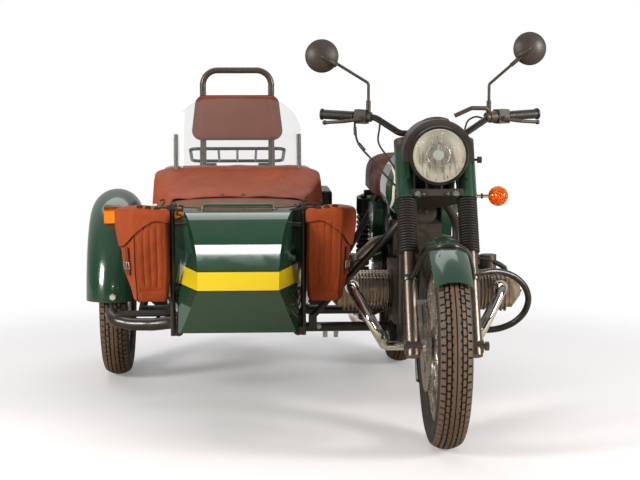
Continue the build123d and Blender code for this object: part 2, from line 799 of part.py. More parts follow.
def fuel_tank():
    # teardrop lofted through rounded outlines: height, front, rear, half width, corner radius
    rows = [
        (tank_low_z, 40, 36, 96, 60),
        (tank_low_z + 40, 16, 10, tank_half - 8, 80),
        (tank_low_z + 110, 4, 0, tank_half, 92),
        (tank_low_z + 180, 30, 30, tank_half - 28, 84),
        (tank_top_z, 96, 110, 62, 52),
    ]
    sections = []
    for z, front, rear, half, corner in rows:
        length = tank_rear_y - tank_front_y - front - rear
        middle = tank_front_y + front + length / 2
        sections.append(Pos(0, middle, z) * RectangleRounded(2 * half, length, corner))
    tank = loft(sections)
    tunnel_half = 62 + frame_tube + 13
    roof = [(y, tunnel_roof(y)) for y in (tank_front_y - 30, 520, 790, tank_rear_y + 20)]
    side_view = outline(Polyline((tank_front_y - 30, tank_low_z - 5), *roof,
                                 (tank_rear_y + 20, tank_low_z - 5), close=True))
    plane = Plane(origin=(-tunnel_half, 0, 0), x_dir=(0, 1, 0), z_dir=(1, 0, 0))
    return tank - extrude(plane * side_view, amount=2 * tunnel_half)


def fuel_cap():
    return Pos(0, 590, tank_top_z + seat_gap + 9) * Cylinder(32, 18)


def rider_seat():
    # long two-level saddle: width at height, then the step for the pillion
    base = Pos(0, (seat_front_y + seat_rear_y) / 2, seat_low_z + soft_gap) * extrude(
        RectangleRounded(2 * seat_half, seat_rear_y - seat_front_y, 70),
        amount=seat_top_z - seat_low_z - soft_gap)
    step_y = 1160.0
    pillion = Pos(0, (step_y + seat_rear_y) / 2, seat_top_z - 6) * extrude(
        RectangleRounded(2 * seat_half - 16, seat_rear_y - step_y - 6, 66), amount=34)
    seat = base + pillion
    for side in (-1, 1):
        seat -= top_rail(side, frame_tube - 2 + soft_gap)
    return seat


def rear_mudguard():
    strip = at_rear(guard_strip(78, rear_guard_radius, 40, guard_wall, 62, 158))
    lug_y = wheelbase - 10
    lug = block((-24, 24), (lug_y - 12, lug_y + 12), (695.6, seat_rail_z + 5))
    lug -= rod((-60, lug_y, seat_rail_z + 5), (60, lug_y, seat_rail_z + 5),
               frame_tube - 3 + seat_gap)
    for side in (-1, 1):
        # a stay from the end of the seat rail to the strip's edge
        stay = rod((side * 94, wheelbase - 6, seat_rail_z - 6), (side * 80, wheelbase + 216, 574), 6)
        stay += rod((side * 80, wheelbase + 216, 574), (side * 72, wheelbase + 222, 574), 9)
        lug += stay - rod((side * cradle_x, 1000, seat_rail_z),
                          (side * cradle_x, wheelbase + 40, seat_rail_z + 6.5),
                          frame_tube - 2 + seat_gap)
    # bracket for a number plate behind the tail lamp, with its two bolt holes
    plate_y = wheelbase + 376
    bracket = block((-90, 90), (plate_y - 3, plate_y), (plate_z - 60, plate_z + 60))
    bracket += block((-12, 12), (wheelbase + 150, plate_y - 1), (plate_z - 16, plate_z))
    for side in (-1, 1):
        hole = Pos(side * plate_hole_x, plate_y, plate_z) * Rot(X=90) * Cylinder(
            plate_hole_radius, 20)
        bracket -= hole
    bracket -= at_rear(Rot(Y=90) * Cylinder(rear_guard_radius - 2, 400))
    return strip + lug + largest(bracket)


def lamps():
    # tail lamp on the rear mudguard, tail lamp and amber front lamp on the sidecar mudguard
    rear_skin = at_rear(Rot(Y=90) * Cylinder(rear_guard_radius + seat_gap, 400))
    side_skin = at_side(Rot(Y=90) * Cylinder(side_guard_radius + seat_gap, 400))
    tail = block((-46, 46), (wheelbase + 270, wheelbase + 362), (520, 588)) - rear_skin
    side_tail = block((-side_track - 34, -side_track + 34), (side_y + 360, side_y + 426),
                      (420, 484)) - side_skin
    front = block((-side_track - 30, -side_track + 30), (side_y - 296, side_y - 210),
                  (632, 694)) - side_skin
    return [largest(tail), largest(side_tail), largest(front)]


def side_panels():
    both = Part()
    for side in (-1, 1):
        face = outline(Polyline((1010, 470), (1170, 470), (1200, 690), (980, 700), close=True))
        face = fillet(face.vertices(), 24)
        inner_x = side * (cradle_x + frame_tube + seat_gap)
        panel = Plane(origin=(inner_x, 0, 0), x_dir=(0, 1, 0), z_dir=(1, 0, 0)) * face
        both += extrude(panel, amount=side * 40)
    return both


def crash_bars():
    # loop round the left cylinder, from the down tube out and back under it
    reach = 362.0
    points = [(cradle_x + 8, 437, 556), (216, 478, 552), (reach - 14, 504, 492),
              (reach + 10, 512, 412), (reach - 22, 526, 340), (256, 544, 302),
              (cradle_x + 14, 562, 298)]
    loop = tube(points, 12.5, [60, 60, 50, 50, 60])
    loop += rod((cradle_x + 16, 562, 300), (cradle_x + 8, 562, cradle_z), 11)
    return loop - cradle_tube(1, frame_tube + seat_gap)


def foot_controls():
    # pegs either side of the gearbox, brake pedal on the right, gear pedal on the left
    parts = Part()
    peg_y = 905.0
    pedal_y = 745.0
    z = 312.0
    for side in (-1, 1):
        x = side * (cradle_x + 6)
        group = rod((x, peg_y, z), (side * 262, peg_y, z + 4), 12)
        group += rod((x, peg_y, z + 6), (x, peg_y, cradle_z), 9)
        group += tube([(x, peg_y, z), (side * 152, 840, z - 6), (side * 178, pedal_y, z)], 7, 60)
        group += rod((side * 170, pedal_y, z), (side * 224, pedal_y, z), 9)
        parts += group - cradle_tube(side, frame_tube + seat_gap)
    return parts


def swingarm():
    arm = rod((-swing_x, swing_y, swing_z), (swing_x, swing_y, swing_z), swing_tube)
    for side in (-1, 1):
        arm += rod((side * swing_x, swing_y, swing_z), (side * swing_x, wheelbase, tyre_radius),
                   swing_tube - 2)
        arm += Pos(side * swing_x, wheelbase, tyre_radius) * Rot(Y=90) * Cylinder(30, 20)
        arm += Pos(side * swing_x, swing_y, swing_z) * Rot(Y=90) * Cylinder(22, 30)
    arm += rod((-swing_x - 26, wheelbase, tyre_radius), (swing_x + 26, wheelbase, tyre_radius),
               axle_radius)
    # bevel box of the shaft drive on the right, with a ribbed joint ahead of it
    box_x = -drive_face
    arm += rod((box_x, wheelbase, tyre_radius), (box_x - 26, wheelbase, tyre_radius), 74)
    arm += rod((box_x - 20, wheelbase, tyre_radius), (box_x - 33, wheelbase, tyre_radius), 48)
    arm += rod((-swing_x, wheelbase - 62, tyre_radius), (-swing_x, wheelbase - 120, tyre_radius), 27)
    arm += rod((-swing_x, swing_y + 34, swing_z), (-swing_x, swing_y + 78, swing_z), 25)
    return arm


def coil_stack(start, end, turns, inner, outer):
    # a spring's turns as one ridged sleeve about the unit's axis
    pitch = (end - start) / turns
    points = [(8, start)]
    for k in range(turns):
        base = start + k * pitch
        points += [(inner, base), (outer - 2, base + 0.28 * pitch), (outer, base + 0.5 * pitch),
                   (outer - 2, base + 0.72 * pitch)]
    points += [(inner, end), (8, end)]
    return turned(Plane.XZ * outline(Polyline(*points, close=True)), axis=Axis.Z)


def rear_shocks():
    # spring units: rod, coils as stacked rings on it, cup above and seat below
    both = Part()
    for side in (-1, 1):
        x = side * shock_x
        low = Vector(x, wheelbase - 40, 384)
        high = Vector(x, wheelbase - 120, 700)
        run = high - low
        unit = rod(low, high, 13)
        unit += rod(low + run * 0.08, low + run * 0.16, 29)
        unit += rod(low + run * 0.79, low + run * 0.97, 29)
        unit += Plane(origin=low, z_dir=run) * coil_stack(run.length * 0.155, run.length * 0.8,
                                                          10, 18, 28)
        unit += rod((side * (swing_x - 4), low.Y, low.Z), (x, low.Y, low.Z), 13)
        unit += rod((side * (swing_x - 4), low.Y, low.Z), (side * (swing_x - 4), low.Y, 340), 9)
        unit += rod((side * cradle_x, high.Y, high.Z + 8), (x, high.Y, high.Z + 8), 12)
        unit -= rod((side * swing_x, swing_y, swing_z), (side * swing_x, wheelbase, tyre_radius),
                    swing_tube - 2 + seat_gap)
        unit -= rod((side * cradle_x, 1000, seat_rail_z), (side * cradle_x, 1500, seat_rail_z + 6),
                    frame_tube - 2 + seat_gap)
        both += unit
    return both


# Sidecar tub: horizontal outlines lofted upwards, cut to a side profile, hollowed
crease_z = 486.0
# Rows: height, half width of the front panel, half width at the shoulder corners, half width
# amidships, half width at the tail, how far back the shoulder corners stand
tub_rows = [
    (tub_floor_z - 1, 176, 204, 262, 200, 70),
    (crease_z, 136, 204, 302, 230, 190),
    (600, 136, 196, 306, 240, 230),
    (900, 170, 200, 284, 220, 150),
]


def tub_outline(row, inset):
    z, nose, shoulder, mid, tail, back = row
    y0 = tub_nose_y
    half = [(nose, y0), (shoulder, y0 + back), (mid, y0 + 620), (mid, 1480), (tail, tub_tail_y)]
    points = [(side_x + x, y) for x, y in half] + [(side_x - x, y) for x, y in half[::-1]]
    face = outline(Polyline(*points, close=True))
    if inset:
        face = offset(face, amount=-inset, kind=Kind.INTERSECTION)
    return Pos(0, 0, z) * face


def tub_profile(inset):
    # side view: flared chin, rounded nose, cowl, cockpit sill, and the deck falling to the tail
    nose = tub_nose_y
    edges = Line((nose + 52, tub_floor_z), (nose, crease_z))
    edges += Line((nose, crease_z), (nose + 2, 556)) + Line((nose + 2, 556), (nose + 16, 640))
    edges += ThreePointArc((nose + 16, 640), (nose + 56, 708), (nose + 150, cowl_z))
    edges += Line((nose + 150, cowl_z), (cockpit_front_y, cowl_z + 14))
    edges += Line((cockpit_front_y, cowl_z + 14), (960, rim_z + 8))
    edges += Line((960, rim_z + 8), (bulkhead_y + 60, rim_z - 8))
    edges += ThreePointArc((bulkhead_y + 60, rim_z - 8), (1830, 752), (tub_tail_y - 40, 610))
    edges += Line((tub_tail_y - 40, 610), (tub_tail_y - 90, 400))
    edges += Line((tub_tail_y - 90, 400), (tub_tail_y - 170, tub_floor_z))
    edges += Line((tub_tail_y - 170, tub_floor_z), (nose + 52, tub_floor_z))
    face = outline(edges)
    if inset:
        face = offset(face, amount=-inset, kind=Kind.INTERSECTION)
    plane = Plane(origin=(side_x - 400, 0, 0), x_dir=(0, 1, 0), z_dir=(1, 0, 0))
    return extrude(plane * face, amount=800)


def tub_solid(inset):
    shell = loft([tub_outline(row, inset) for row in tub_rows], ruled=True)
    return shell & tub_profile(inset)


def lid_prism(grow):
    face = Pos(side_x, (lid_front_y + lid_rear_y) / 2) * RectangleRounded(
        2 * (lid_half + grow), lid_rear_y - lid_front_y + 2 * grow, 40 + grow)
    return Pos(0, 0, 560) * extrude(face, amount=400)


def tub_shell():
    inner = tub_solid(tub_wall)
    wall = block((side_x - 400, side_x + 400), (bulkhead_y, bulkhead_y + tub_wall),
                 (tub_floor_z, 1000))
    return tub_solid(0) - (inner - wall)


def sidecar_body(shell):
    hole = Pos(side_x, (cockpit_front_y + cockpit_rear_y) / 2) * RectangleRounded(
        2 * cockpit_half, cockpit_rear_y - cockpit_front_y, 90)
    cockpit = Pos(0, 0, 640) * extrude(hole, amount=400)
    body = shell - cockpit - lid_prism(lid_seam)
    for x in hinge_xs:
        body += rod((x - 34, hinge_y, hinge_z), (x + 34, hinge_y, hinge_z), hinge_pin)
        for side in (-1, 1):
            ends = sorted((x + side * 28.5, x + side * 34))
            body += rod((ends[0], hinge_y, hinge_z), (ends[1], hinge_y, hinge_z), 5)
            body += block(ends, (hinge_y - 26, hinge_y), (lid_panel_z + 1.5, hinge_z + 5))
            body += block(ends, (hinge_y - 26, lid_front_y - lid_seam - 1),
                          (lid_panel_z - 3, hinge_z))
    return body


def boot_lid(shell):
    # the panel cut from the rear deck, with two hinge barrels along its front edge
    lid = shell & lid_prism(0)
    for x in hinge_xs:
        lid += rod((x - 28, hinge_y, hinge_z), (x + 28, hinge_y, hinge_z), 5)
        lid += block((x - 26, x + 26), (hinge_y - 2, hinge_y + 4), (lid_panel_z - 4, hinge_z))
        lid -= rod((x - 30, hinge_y, hinge_z), (x + 30, hinge_y, hinge_z), hinge_pin + run_gap)
    return lid


def tub_half(y, z):
    # half width of the tub's outside at one place, read from its outlines
    low, high = [pair for pair in zip(tub_rows, tub_rows[1:]) if pair[0][0] <= z][-1]
    share = (z - low[0]) / (high[0] - low[0])
    widths = []
    for row in (low, high):
        _, nose, shoulder, mid, tail, back = row
        stations = [(tub_nose_y, nose), (tub_nose_y + back, shoulder), (tub_nose_y + 620, mid),
                    (1480, mid), (tub_tail_y, tail)]
        for (y0, w0), (y1, w1) in zip(stations, stations[1:]):
            if y0 <= y <= y1:
                widths.append(w0 + (w1 - w0) * (y - y0) / (y1 - y0))
                break
    return widths[0] + (widths[1] - widths[0]) * share


def sill_z(y):
    # height of the tub's top edge over the cockpit
    return cowl_z + 14 + (rim_z + 8 - cowl_z - 14) * (y - cockpit_front_y) / (960 - cockpit_front_y)


def lid_underside():
    # the room under the lid, so that the rack's feet stop at its face
    return lid_prism(30) & tub_solid(tub_wall - 0.5)


def boot_rack(lid):
    # two runners and three bars on feet, carried by the boot lid
    z_front = 872.0
    z_rear = 800.0
    half = 196.0
    y0 = lid_front_y + 40
    y1 = lid_rear_y - 60
    loop = [(side_x - half, y0, z_front), (side_x + half, y0, z_front),
            (side_x + half, y1, z_rear), (side_x - half, y1, z_rear)]
    ring = FilletPolyline(*loop, radius=36, close=True)
    start = Plane(origin=ring @ 0, z_dir=ring % 0)
    rack = sweep(start * Circle(rack_tube - 2), path=ring)
    for k in (-0.4, 0.0, 0.4):
        x = side_x + k * half
        rack += rod((x, y0, z_front), (x, y1, z_rear), rack_tube - 4)
    for x in (side_x - half + 46, side_x + half - 46):
        for y, z, deck in ((y0, z_front, 770), (y1, z_rear, 672)):
            rack += rod((x, y, z), (x, y, deck), rack_tube - 3)
    cut = rack - lid - lid_underside()
    return largest(cut)


def grab_bar(tub):
    # low rail across the cowl on two feet
    z = cowl_z + 16
    y = tub_nose_y + 168
    points = [(side_x - 122, y, cowl_z - 4), (side_x - 116, y, z), (side_x + 116, y, z),
              (side_x + 122, y, cowl_z - 4)]
    return largest(tube(points, 5, 12) - tub)


def apron(posts):
    # leather cover over the front of the cockpit, arched in front and hanging over the sides
    rows = [
        # y, crown height, lowest edge at the sides
        (cockpit_front_y - 8, 780, 748),
        (tub_nose_y + 620, 838, 722),
        (930, 850, 708),
    ]
    wall = 5.0
    sections = []
    for y, crown, low in rows:
        inner = max(tub_half(y, low), tub_half(y, sill_z(y))) + 2.2
        side = sill_z(y) + soft_gap + 1
        outer = inner + wall
        edges = ThreePointArc((-outer, side + wall), (0, crown), (outer, side + wall))
        edges += Polyline((outer, side + wall), (outer, low), (inner, low), (inner, side))
        edges += ThreePointArc((inner, side), (0, crown - wall), (-inner, side))
        edges += Polyline((-inner, side), (-inner, low), (-outer, low), (-outer, side + wall))
        plane = Plane(origin=(side_x, y, 0), x_dir=(1, 0, 0), z_dir=(0, -1, 0))
        sections.append(plane * outline(edges))
    return loft(sections, ruled=True) - posts


screen_y = 862.0
screen_foot_z = 830.0
screen_top_z = 1103.0
screen_half = 240.0
screen_corner = 135.0
screen_lean = 14.0        # degrees back from upright
screen_wall = 4.0
screen_radius = 620.0
post_x = 226.0


def screen_plane():
    return Plane(origin=(side_x, screen_y, screen_foot_z), x_dir=(1, 0, 0),
                 z_dir=(0, sin(radians(screen_lean)), cos(radians(screen_lean))))


def windscreen():
    outer = Circle(screen_radius) - Circle(screen_radius - screen_wall)
    keep = Pos(0, -screen_radius) * Rectangle(2 * screen_half, 300)
    arc = Pos(0, screen_radius) * (outer & keep)
    height = (screen_top_z - screen_foot_z) / cos(radians(screen_lean))
    sheet = Pos(0, 0, 24) * extrude(arc, amount=height - 24)
    arched = RectangleRounded(2 * screen_half, 2 * height, screen_corner)
    return screen_plane() * (sheet & extrude(Plane.XZ * arched, amount=300, both=True))


def windscreen_posts(grow=0.0):
    posts = Part()
    for side in (-1, 1):
        turn = asin(post_x / screen_radius)
        reach = screen_radius + 8 + seat_gap
        x = side * reach * sin(turn)
        y = screen_radius - reach * cos(turn)
        plane = screen_plane()
        low = plane.from_local_coords((x, y, -60))
        high = plane.from_local_coords((x, y, 152 + grow))
        posts += rod(low, high, 8 + grow)
    return posts


def sidecar_seat():
    seat_foot = tub_floor_z + tub_wall + soft_gap
    cushion = Pos(side_x, 1170, seat_foot) * extrude(
        RectangleRounded(430, 470, 60), amount=510 - seat_foot)
    back_plane = Plane(origin=(side_x, 1440, 420), x_dir=(1, 0, 0), z_dir=(0, 0.13, 1))
    back = back_plane * (Pos(0, -30, 0) * extrude(RectangleRounded(430, 84, 30), amount=360))
    return [cushion, back - cushion]


hoop_half = 139.0
hoop_y = 1520.0
hoop_top_z = 1198.0
hoop_radius = 12.5


def headrest_hoop(tub):
    points = [(side_x - hoop_half, hoop_y, rim_z - 40), (side_x - hoop_half, hoop_y, hoop_top_z),
              (side_x + hoop_half, hoop_y, hoop_top_z), (side_x + hoop_half, hoop_y, rim_z - 40)]
    return largest(tube(points, hoop_radius, 60) - tub)


def headrest():
    low_half = 186.0
    high_half = 164.0
    face = outline(Polyline((-low_half, 918), (low_half, 918), (high_half, 1096),
                            (-high_half, 1096), close=True))
    face = fillet(face.vertices(), 34)
    plane = Plane(origin=(side_x, hoop_y - hoop_radius - soft_gap, 0), x_dir=(1, 0, 0),
                  z_dir=(0, -1, 0))
    return extrude(plane * face, amount=70)


def sidecar_mudguard(tub):
    strip = at_side(guard_strip(side_guard_half, side_guard_radius, 78, guard_wall, 88, 178))
    inner_x = -side_track + side_guard_half
    for y, z in ((side_y - 170, 640), (side_y + 120, 650)):
        strip += rod((inner_x - 20, y, z), (side_x - 280, y, z), 8) - tub
    return strip


def sidecar_frame():
    # a ladder of round tubes under the tub, its front tubes running on to the motorcycle
    z = chassis_z
    left = side_x + chassis_half
    right = side_x - chassis_half
    tubes = Part()
    for x in (left, right):
        tubes += rod((x, chassis_front_y - 30, z), (x, chassis_rear_y + 30, z), chassis_tube)
        for y in (chassis_front_y + 130, chassis_rear_y - 120):
            tubes += block((x - 16, x + 16), (y - 30, y + 30), (z, tub_floor_z - seat_gap))
    for y, end in ((link_front_y, -clamp_x), (link_rear_y, -clamp_x), (strut_rear_y, -318),
                   (chassis_rear_y, left)):
        tubes += rod((right, y, z), (end, y, z), chassis_tube - 1.5)
    return tubes


def sidecar_struts():
    # two lower clamps and two slanted struts that hold the sidecar to the motorcycle
    parts = Part()
    tube_cut = cradle_tube(-1, frame_tube + seat_gap)
    for y in (link_front_y, link_rear_y):
        clamp = block((-clamp_x + seat_gap, -cradle_x - 4), (y - 24, y + 24),
                      (cradle_z + 4, chassis_z + 20))
        parts += largest(clamp - tube_cut)
    front = rod((-cradle_x, 420, 700), (-400, 568, 340), 12)
    front += block((-414, -386), (554, link_front_y), (chassis_z + 4, 346))
    front -= tube_cut
    front -= rod((-300, link_front_y, chassis_z), (-500, link_front_y, chassis_z),
                 chassis_tube - 1.5 + seat_gap)
    parts += largest(front)
    rear = rod((-cradle_x, 1300, seat_rail_z - 6), (-338, strut_rear_y, chassis_z), 12)
    rear -= rod((-300, strut_rear_y, chassis_z), (-400, strut_rear_y, chassis_z),
                chassis_tube - 1.5 + seat_gap)
    rear -= rod((-cradle_x, 1000, seat_rail_z), (-cradle_x, 1500, seat_rail_z + 6),
                frame_tube - 2 + seat_gap)
    parts += largest(rear)
    return parts


def bumper_bar():
    # big guard tube ahead of the sidecar wheel with a step plate
    right = side_x - chassis_half
    points = [(right - 4, 600, chassis_z), (right - 60, 690, 284), (-1050, 738, 268),
              (-1160, 756, 296), (-1186, 826, 330)]
    bar = tube(points, bumper_radius, [60, 80, 50])
    bar += block((-1120, right - 40), (736, 822), (290, 296))
    bar -= rod((right, 400, chassis_z), (right, 1000, chassis_z), chassis_tube + seat_gap)
    return largest(bar)


def sidecar_suspension():
    # trailing arm with the stub axle, an upright from the chassis and the spring unit between
    x = -1030.0
    right = side_x - chassis_half
    arm = rod((right, 1010, chassis_z), (x, 1010, chassis_z), 17)
    arm += rod((x, 1010, chassis_z), (x, side_y, tyre_radius), 16)
    arm += rod((x + 14, side_y, tyre_radius), (-side_track - 66, side_y, tyre_radius), axle_radius)
    arm += rod((x + 14, side_y, tyre_radius), (x - 16, side_y, tyre_radius), 26)
    spring_x = -1004.0
    upright = tube([(right, 1150, chassis_z), (spring_x, 1150, chassis_z), (spring_x, 1172, 640)],
                   14, 45)
    low = Vector(spring_x, 1256, 352)
    high = Vector(spring_x, 1196, 620)
    run = high - low
    spring = rod(low, high, 13)
    spring += Plane(origin=low, z_dir=run) * coil_stack(run.length * 0.12, run.length * 0.79,
                                                        8, 14, 21)
    spring += rod(low + run * 0.78, high, 21)
    spring += rod(high, (spring_x, 1165, 628), 11)
    spring += rod(low, (x, low.Y + 4, 330), 12)
    whole = arm + upright + spring
    whole -= rod((right, 900, chassis_z), (right, 1300, chassis_z), chassis_tube + seat_gap)
    return whole.solids()


def side_bag(x_range):
    shape = block(x_range, bag_y_range, bag_z_range)
    return fillet(shape.edges(), bag_corner)


def bag_racks(tub):
    # an upright tube beside each flank of the nose, on two short brackets
    racks = Part()
    for side in (-1, 1):
        x = side_x + side * rack_x
        post = rod((x, rack_y, 308), (x, rack_y, 764), rack_tube)
        for z in (470, 690):
            post += rod((x, rack_y, z), (x - side * 60, rack_y + 10, z), 7)
        racks += largest(post - tub)
    return racks


def fuel_can(tub):
    near_x = -352.0
    body = block((near_x, near_x + 70), (1400, 1640), (452, 716))
    can = fillet(body.edges(), 16)
    bracket = block((near_x - 28, near_x + 0.1), (1440, 1600), (560, 640)) - tub
    return can + largest(bracket)


shell = tub_shell()
tub = tub_solid(0)
lid_panel_z = (shell & lid_prism(0)).bounding_box().max.Z
hinge_y = lid_front_y + 3
hinge_z = lid_panel_z + 6.5
hinge_pin = 2.0
hinge_xs = (side_x - 120, side_x + 120)
lid = boot_lid(shell)
controls = bar_controls()
nodes = {
    "front_tyre": at_front(tyre_ring()),
    "rear_tyre": at_rear(tyre_ring()),
    "sidecar_tyre": at_side(tyre_ring()),
    "front_wheel_core": at_front(wheel_core(-72, 70, brake_disc())),
    "rear_wheel_core": at_rear(wheel_core(-78, 78)),
    "sidecar_wheel_core": at_side(wheel_core(-58, 58)),
    "fork_legs": fork_legs(),
    "fork_gaiters": fork_gaiters(),
    "fork_shrouds": fork_shrouds(),
    "fork_yokes": fork_yokes(),
    "fork_brace": fork_brace(),
    "front_mudguard": front_mudguard(),
    "brake_caliper": brake_caliper(),
    "headlamp": headlamp(),
    "headlamp_lens": headlamp_lens(),
    "nacelle": nacelle(),
    "front_indicator": front_indicator(),
    "handlebar": handlebar(),
    "bar_grips": bar_grips(),
    "bar_controls": controls,
    "mirrors": mirrors(controls),
    "control_cables": control_cables(),
    "main_frame": main_frame(),
    "engine_block": engine_block(),
    "cylinders": cylinders(),
    "rocker_covers": rocker_covers(),
    "intake": intake(),
    "exhaust_pipes": exhaust_pipes(),
    "mufflers": mufflers(),
    "fuel_tank": fuel_tank(),
    "fuel_cap": fuel_cap(),
    "rider_seat": rider_seat(),
    "rear_mudguard": rear_mudguard(),
    "lamps": Compound(children=lamps()),
    "side_panels": side_panels(),
    "crash_bars": crash_bars(),
    "foot_controls": foot_controls(),
    "swingarm": swingarm(),
    "rear_shocks": rear_shocks(),
    "sidecar_frame": sidecar_frame(),
    "sidecar_struts": sidecar_struts(),
    "sidecar_suspension": Compound(children=sidecar_suspension()),
    "bumper_bar": bumper_bar(),
    "sidecar_body": sidecar_body(shell),
    "boot_lid": lid,
    "boot_rack": boot_rack(lid),
    "grab_bar": grab_bar(tub),
    "apron": apron(windscreen_posts(soft_gap)),
    "windscreen": windscreen(),
    "windscreen_posts": windscreen_posts() - tub,
    "sidecar_seat": Compound(children=sidecar_seat()),
    "headrest_hoop": headrest_hoop(tub),
    "headrest": headrest(),
    "sidecar_mudguard": sidecar_mudguard(tub),
    "bag_racks": bag_racks(tub),
    "bag_outer": side_bag((bag_outer_x, side_x - rack_x - rack_tube - soft_gap)),
    "bag_inner": side_bag((side_x + rack_x + rack_tube + soft_gap, bag_inner_x)),
    "fuel_can": fuel_can(tub),
}

# The finished part stands on the middle of its footprint
box = Compound(children=[Compound(children=s.solids()) for s in nodes.values()]).bounding_box()
shift = Pos(-(box.min.X + box.max.X) / 2, -(box.min.Y + box.max.Y) / 2, -box.min.Z)
move = shift.position
print("moved by", move, "size", box.size)
print("boot lid hinge", Vector(side_x, hinge_y, hinge_z) + move)
stem_foot = fork_plane(0, lower_yoke_s).from_local_coords((0, fork_offset, 0))
print("handlebar middle", bar_mid + move)
print("steering axis foot", stem_foot + move, "direction", (0, rake_sin, rake_cos))
os.makedirs("parts", exist_ok=True)
for name, shape in nodes.items():
    export_step(shift * Compound(children=shape.solids()), "parts/" + name + ".step")
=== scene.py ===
import bmesh
import bpy
import numpy as np
from mathutils import Euler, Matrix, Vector


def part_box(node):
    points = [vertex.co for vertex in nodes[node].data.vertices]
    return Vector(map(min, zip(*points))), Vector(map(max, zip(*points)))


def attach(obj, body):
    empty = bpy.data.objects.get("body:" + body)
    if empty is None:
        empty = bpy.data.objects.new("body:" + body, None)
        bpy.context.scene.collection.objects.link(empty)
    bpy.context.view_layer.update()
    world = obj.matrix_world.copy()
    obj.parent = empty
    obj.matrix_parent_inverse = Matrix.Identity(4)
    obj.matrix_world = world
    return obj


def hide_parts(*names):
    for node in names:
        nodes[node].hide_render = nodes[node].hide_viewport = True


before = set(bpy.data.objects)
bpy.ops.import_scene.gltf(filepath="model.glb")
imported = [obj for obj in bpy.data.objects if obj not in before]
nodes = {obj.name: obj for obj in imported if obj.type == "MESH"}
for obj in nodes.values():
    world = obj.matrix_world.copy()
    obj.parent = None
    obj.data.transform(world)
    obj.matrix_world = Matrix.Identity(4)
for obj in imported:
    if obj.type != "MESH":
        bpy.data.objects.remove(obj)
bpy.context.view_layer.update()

pi = np.pi
tyreLow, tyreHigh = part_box("front_tyre")
# Pieces are placed in millimetres from the point on the ground under the front axle
groundPoint = np.array([(tyreLow.x + tyreHigh.x) / 2, (tyreLow.y + tyreHigh.y) / 2, 0.0])
wheelRadius, legSide, tubMiddle = 331.0, 102.0, -665.0
legAxis = np.array([0, np.sin(np.radians(27)), np.cos(np.radians(27))])
print("frame loaded")


# Mesh building; close names the directions in which a grid runs round to its start
def gridFaces(rows, columns, close):
    i = np.arange(rows - ("rows" not in close))[:, None]
    j = np.arange(columns - ("columns" not in close))[None, :]
    nextI, nextJ = (i + 1) % rows, (j + 1) % columns
    return np.stack([i * columns + j, nextI * columns + j, nextI * columns + nextJ,
                     i * columns + nextJ], -1).reshape(-1, 4)


def addMesh(name, points, faces, body, look, smooth=True, shade=None):
    # points in millimetres; seams are welded and the faces turned outwards; shade is one value
    # for each point that the material may read
    points = np.asarray(points, float) / 1000 + groundPoint
    mesh = bpy.data.meshes.new(name)
    mesh.from_pydata(points.tolist(), [], faces.tolist())
    if shade is not None:
        layer = mesh.attributes.new("shade", "FLOAT", "POINT")
        layer.data.foreach_set("value", np.asarray(shade, float).reshape(-1))
    work = bmesh.new()
    work.from_mesh(mesh)
    bmesh.ops.remove_doubles(work, verts=work.verts, dist=2e-6)
    bmesh.ops.dissolve_degenerate(work, edges=work.edges, dist=1e-6)
    bmesh.ops.recalc_face_normals(work, faces=work.faces)
    work.to_mesh(mesh)
    work.free()
    mesh.polygons.foreach_set("use_smooth", np.full(len(mesh.polygons), smooth))
    if smooth:
        mesh.set_sharp_from_angle(angle=np.radians(42))
    mesh.materials.append(materials[look])
    piece = bpy.data.objects.new(name, mesh)
    bpy.context.scene.collection.objects.link(piece)
    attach(piece, body)
    return piece


def addPiece(name, grids, body, look, close="columns", replaced=None,
             shade=None):
    # a grid of points, or a list of them as one piece
    points, faces, start = [], [], 0
    for grid in grids if isinstance(grids, list) else [grids]:
        rows, columns = grid.shape[:2]
        points.append(grid.reshape(-1, 3))
        faces.append(gridFaces(rows, columns, close) + start)
        start += rows * columns
    piece = addMesh(name, np.concatenate(points), np.concatenate(faces), body, look,
                    shade=shade)
    if replaced:
        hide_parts(replaced)
    return piece


def smoothPath(points, count):
    # cubic curve through the points, sampled evenly by length
    p = np.asarray(points, float)
    s = np.concatenate([[0], np.cumsum(np.linalg.norm(np.diff(p, axis=0), axis=1))])
    slope = np.gradient(p, s, axis=0)
    t = np.linspace(0, s[-1], count)
    k = np.clip(np.searchsorted(s, t, "right") - 1, 0, len(p) - 2)
    h = (s[k + 1] - s[k])[:, None]
    u = (t - s[k])[:, None] / h
    return ((2 * u**3 - 3 * u**2 + 1) * p[k] + (u**3 - 2 * u**2 + u) * h * slope[k]
            + (3 * u**2 - 2 * u**3) * p[k + 1] + (u**3 - u**2) * h * slope[k + 1])


def unit(v):
    return v / np.linalg.norm(v, axis=-1, keepdims=True)


def capped(grid, centres):
    # a first and a last row drawn together into one point each
    ends = [np.repeat(centre[None, None], grid.shape[1], 1) for centre in centres]
    return np.concatenate([ends[0], grid, ends[1]])


def sweepGrid(path, profile, size=1.0, closed=False, up=None):
    # a closed profile carried along a path; size is one number or one for each point
    path = np.asarray(path, float)
    if closed:
        tangent = unit(np.roll(path, -1, 0) - np.roll(path, 1, 0))
    else:
        tangent = unit(np.gradient(path, axis=0))
    if up is None:
        up = np.linalg.svd(tangent)[2][-1]
    side = unit(np.cross(tangent, up))
    top = np.cross(side, tangent)
    size = np.broadcast_to(np.asarray(size, float), (len(path),))
    ring = profile[None, :, :] * size[:, None, None]
    grid = path[:, None] + ring[..., :1] * side[:, None] + ring[..., 1:] * top[:, None]
    return grid if closed else capped(grid, (path[0], path[-1]))


def circle(radius=1.0, sides=16):
    a = np.arange(sides) * 2 * pi / sides
    return np.stack([np.cos(a), np.sin(a)], -1) * radius


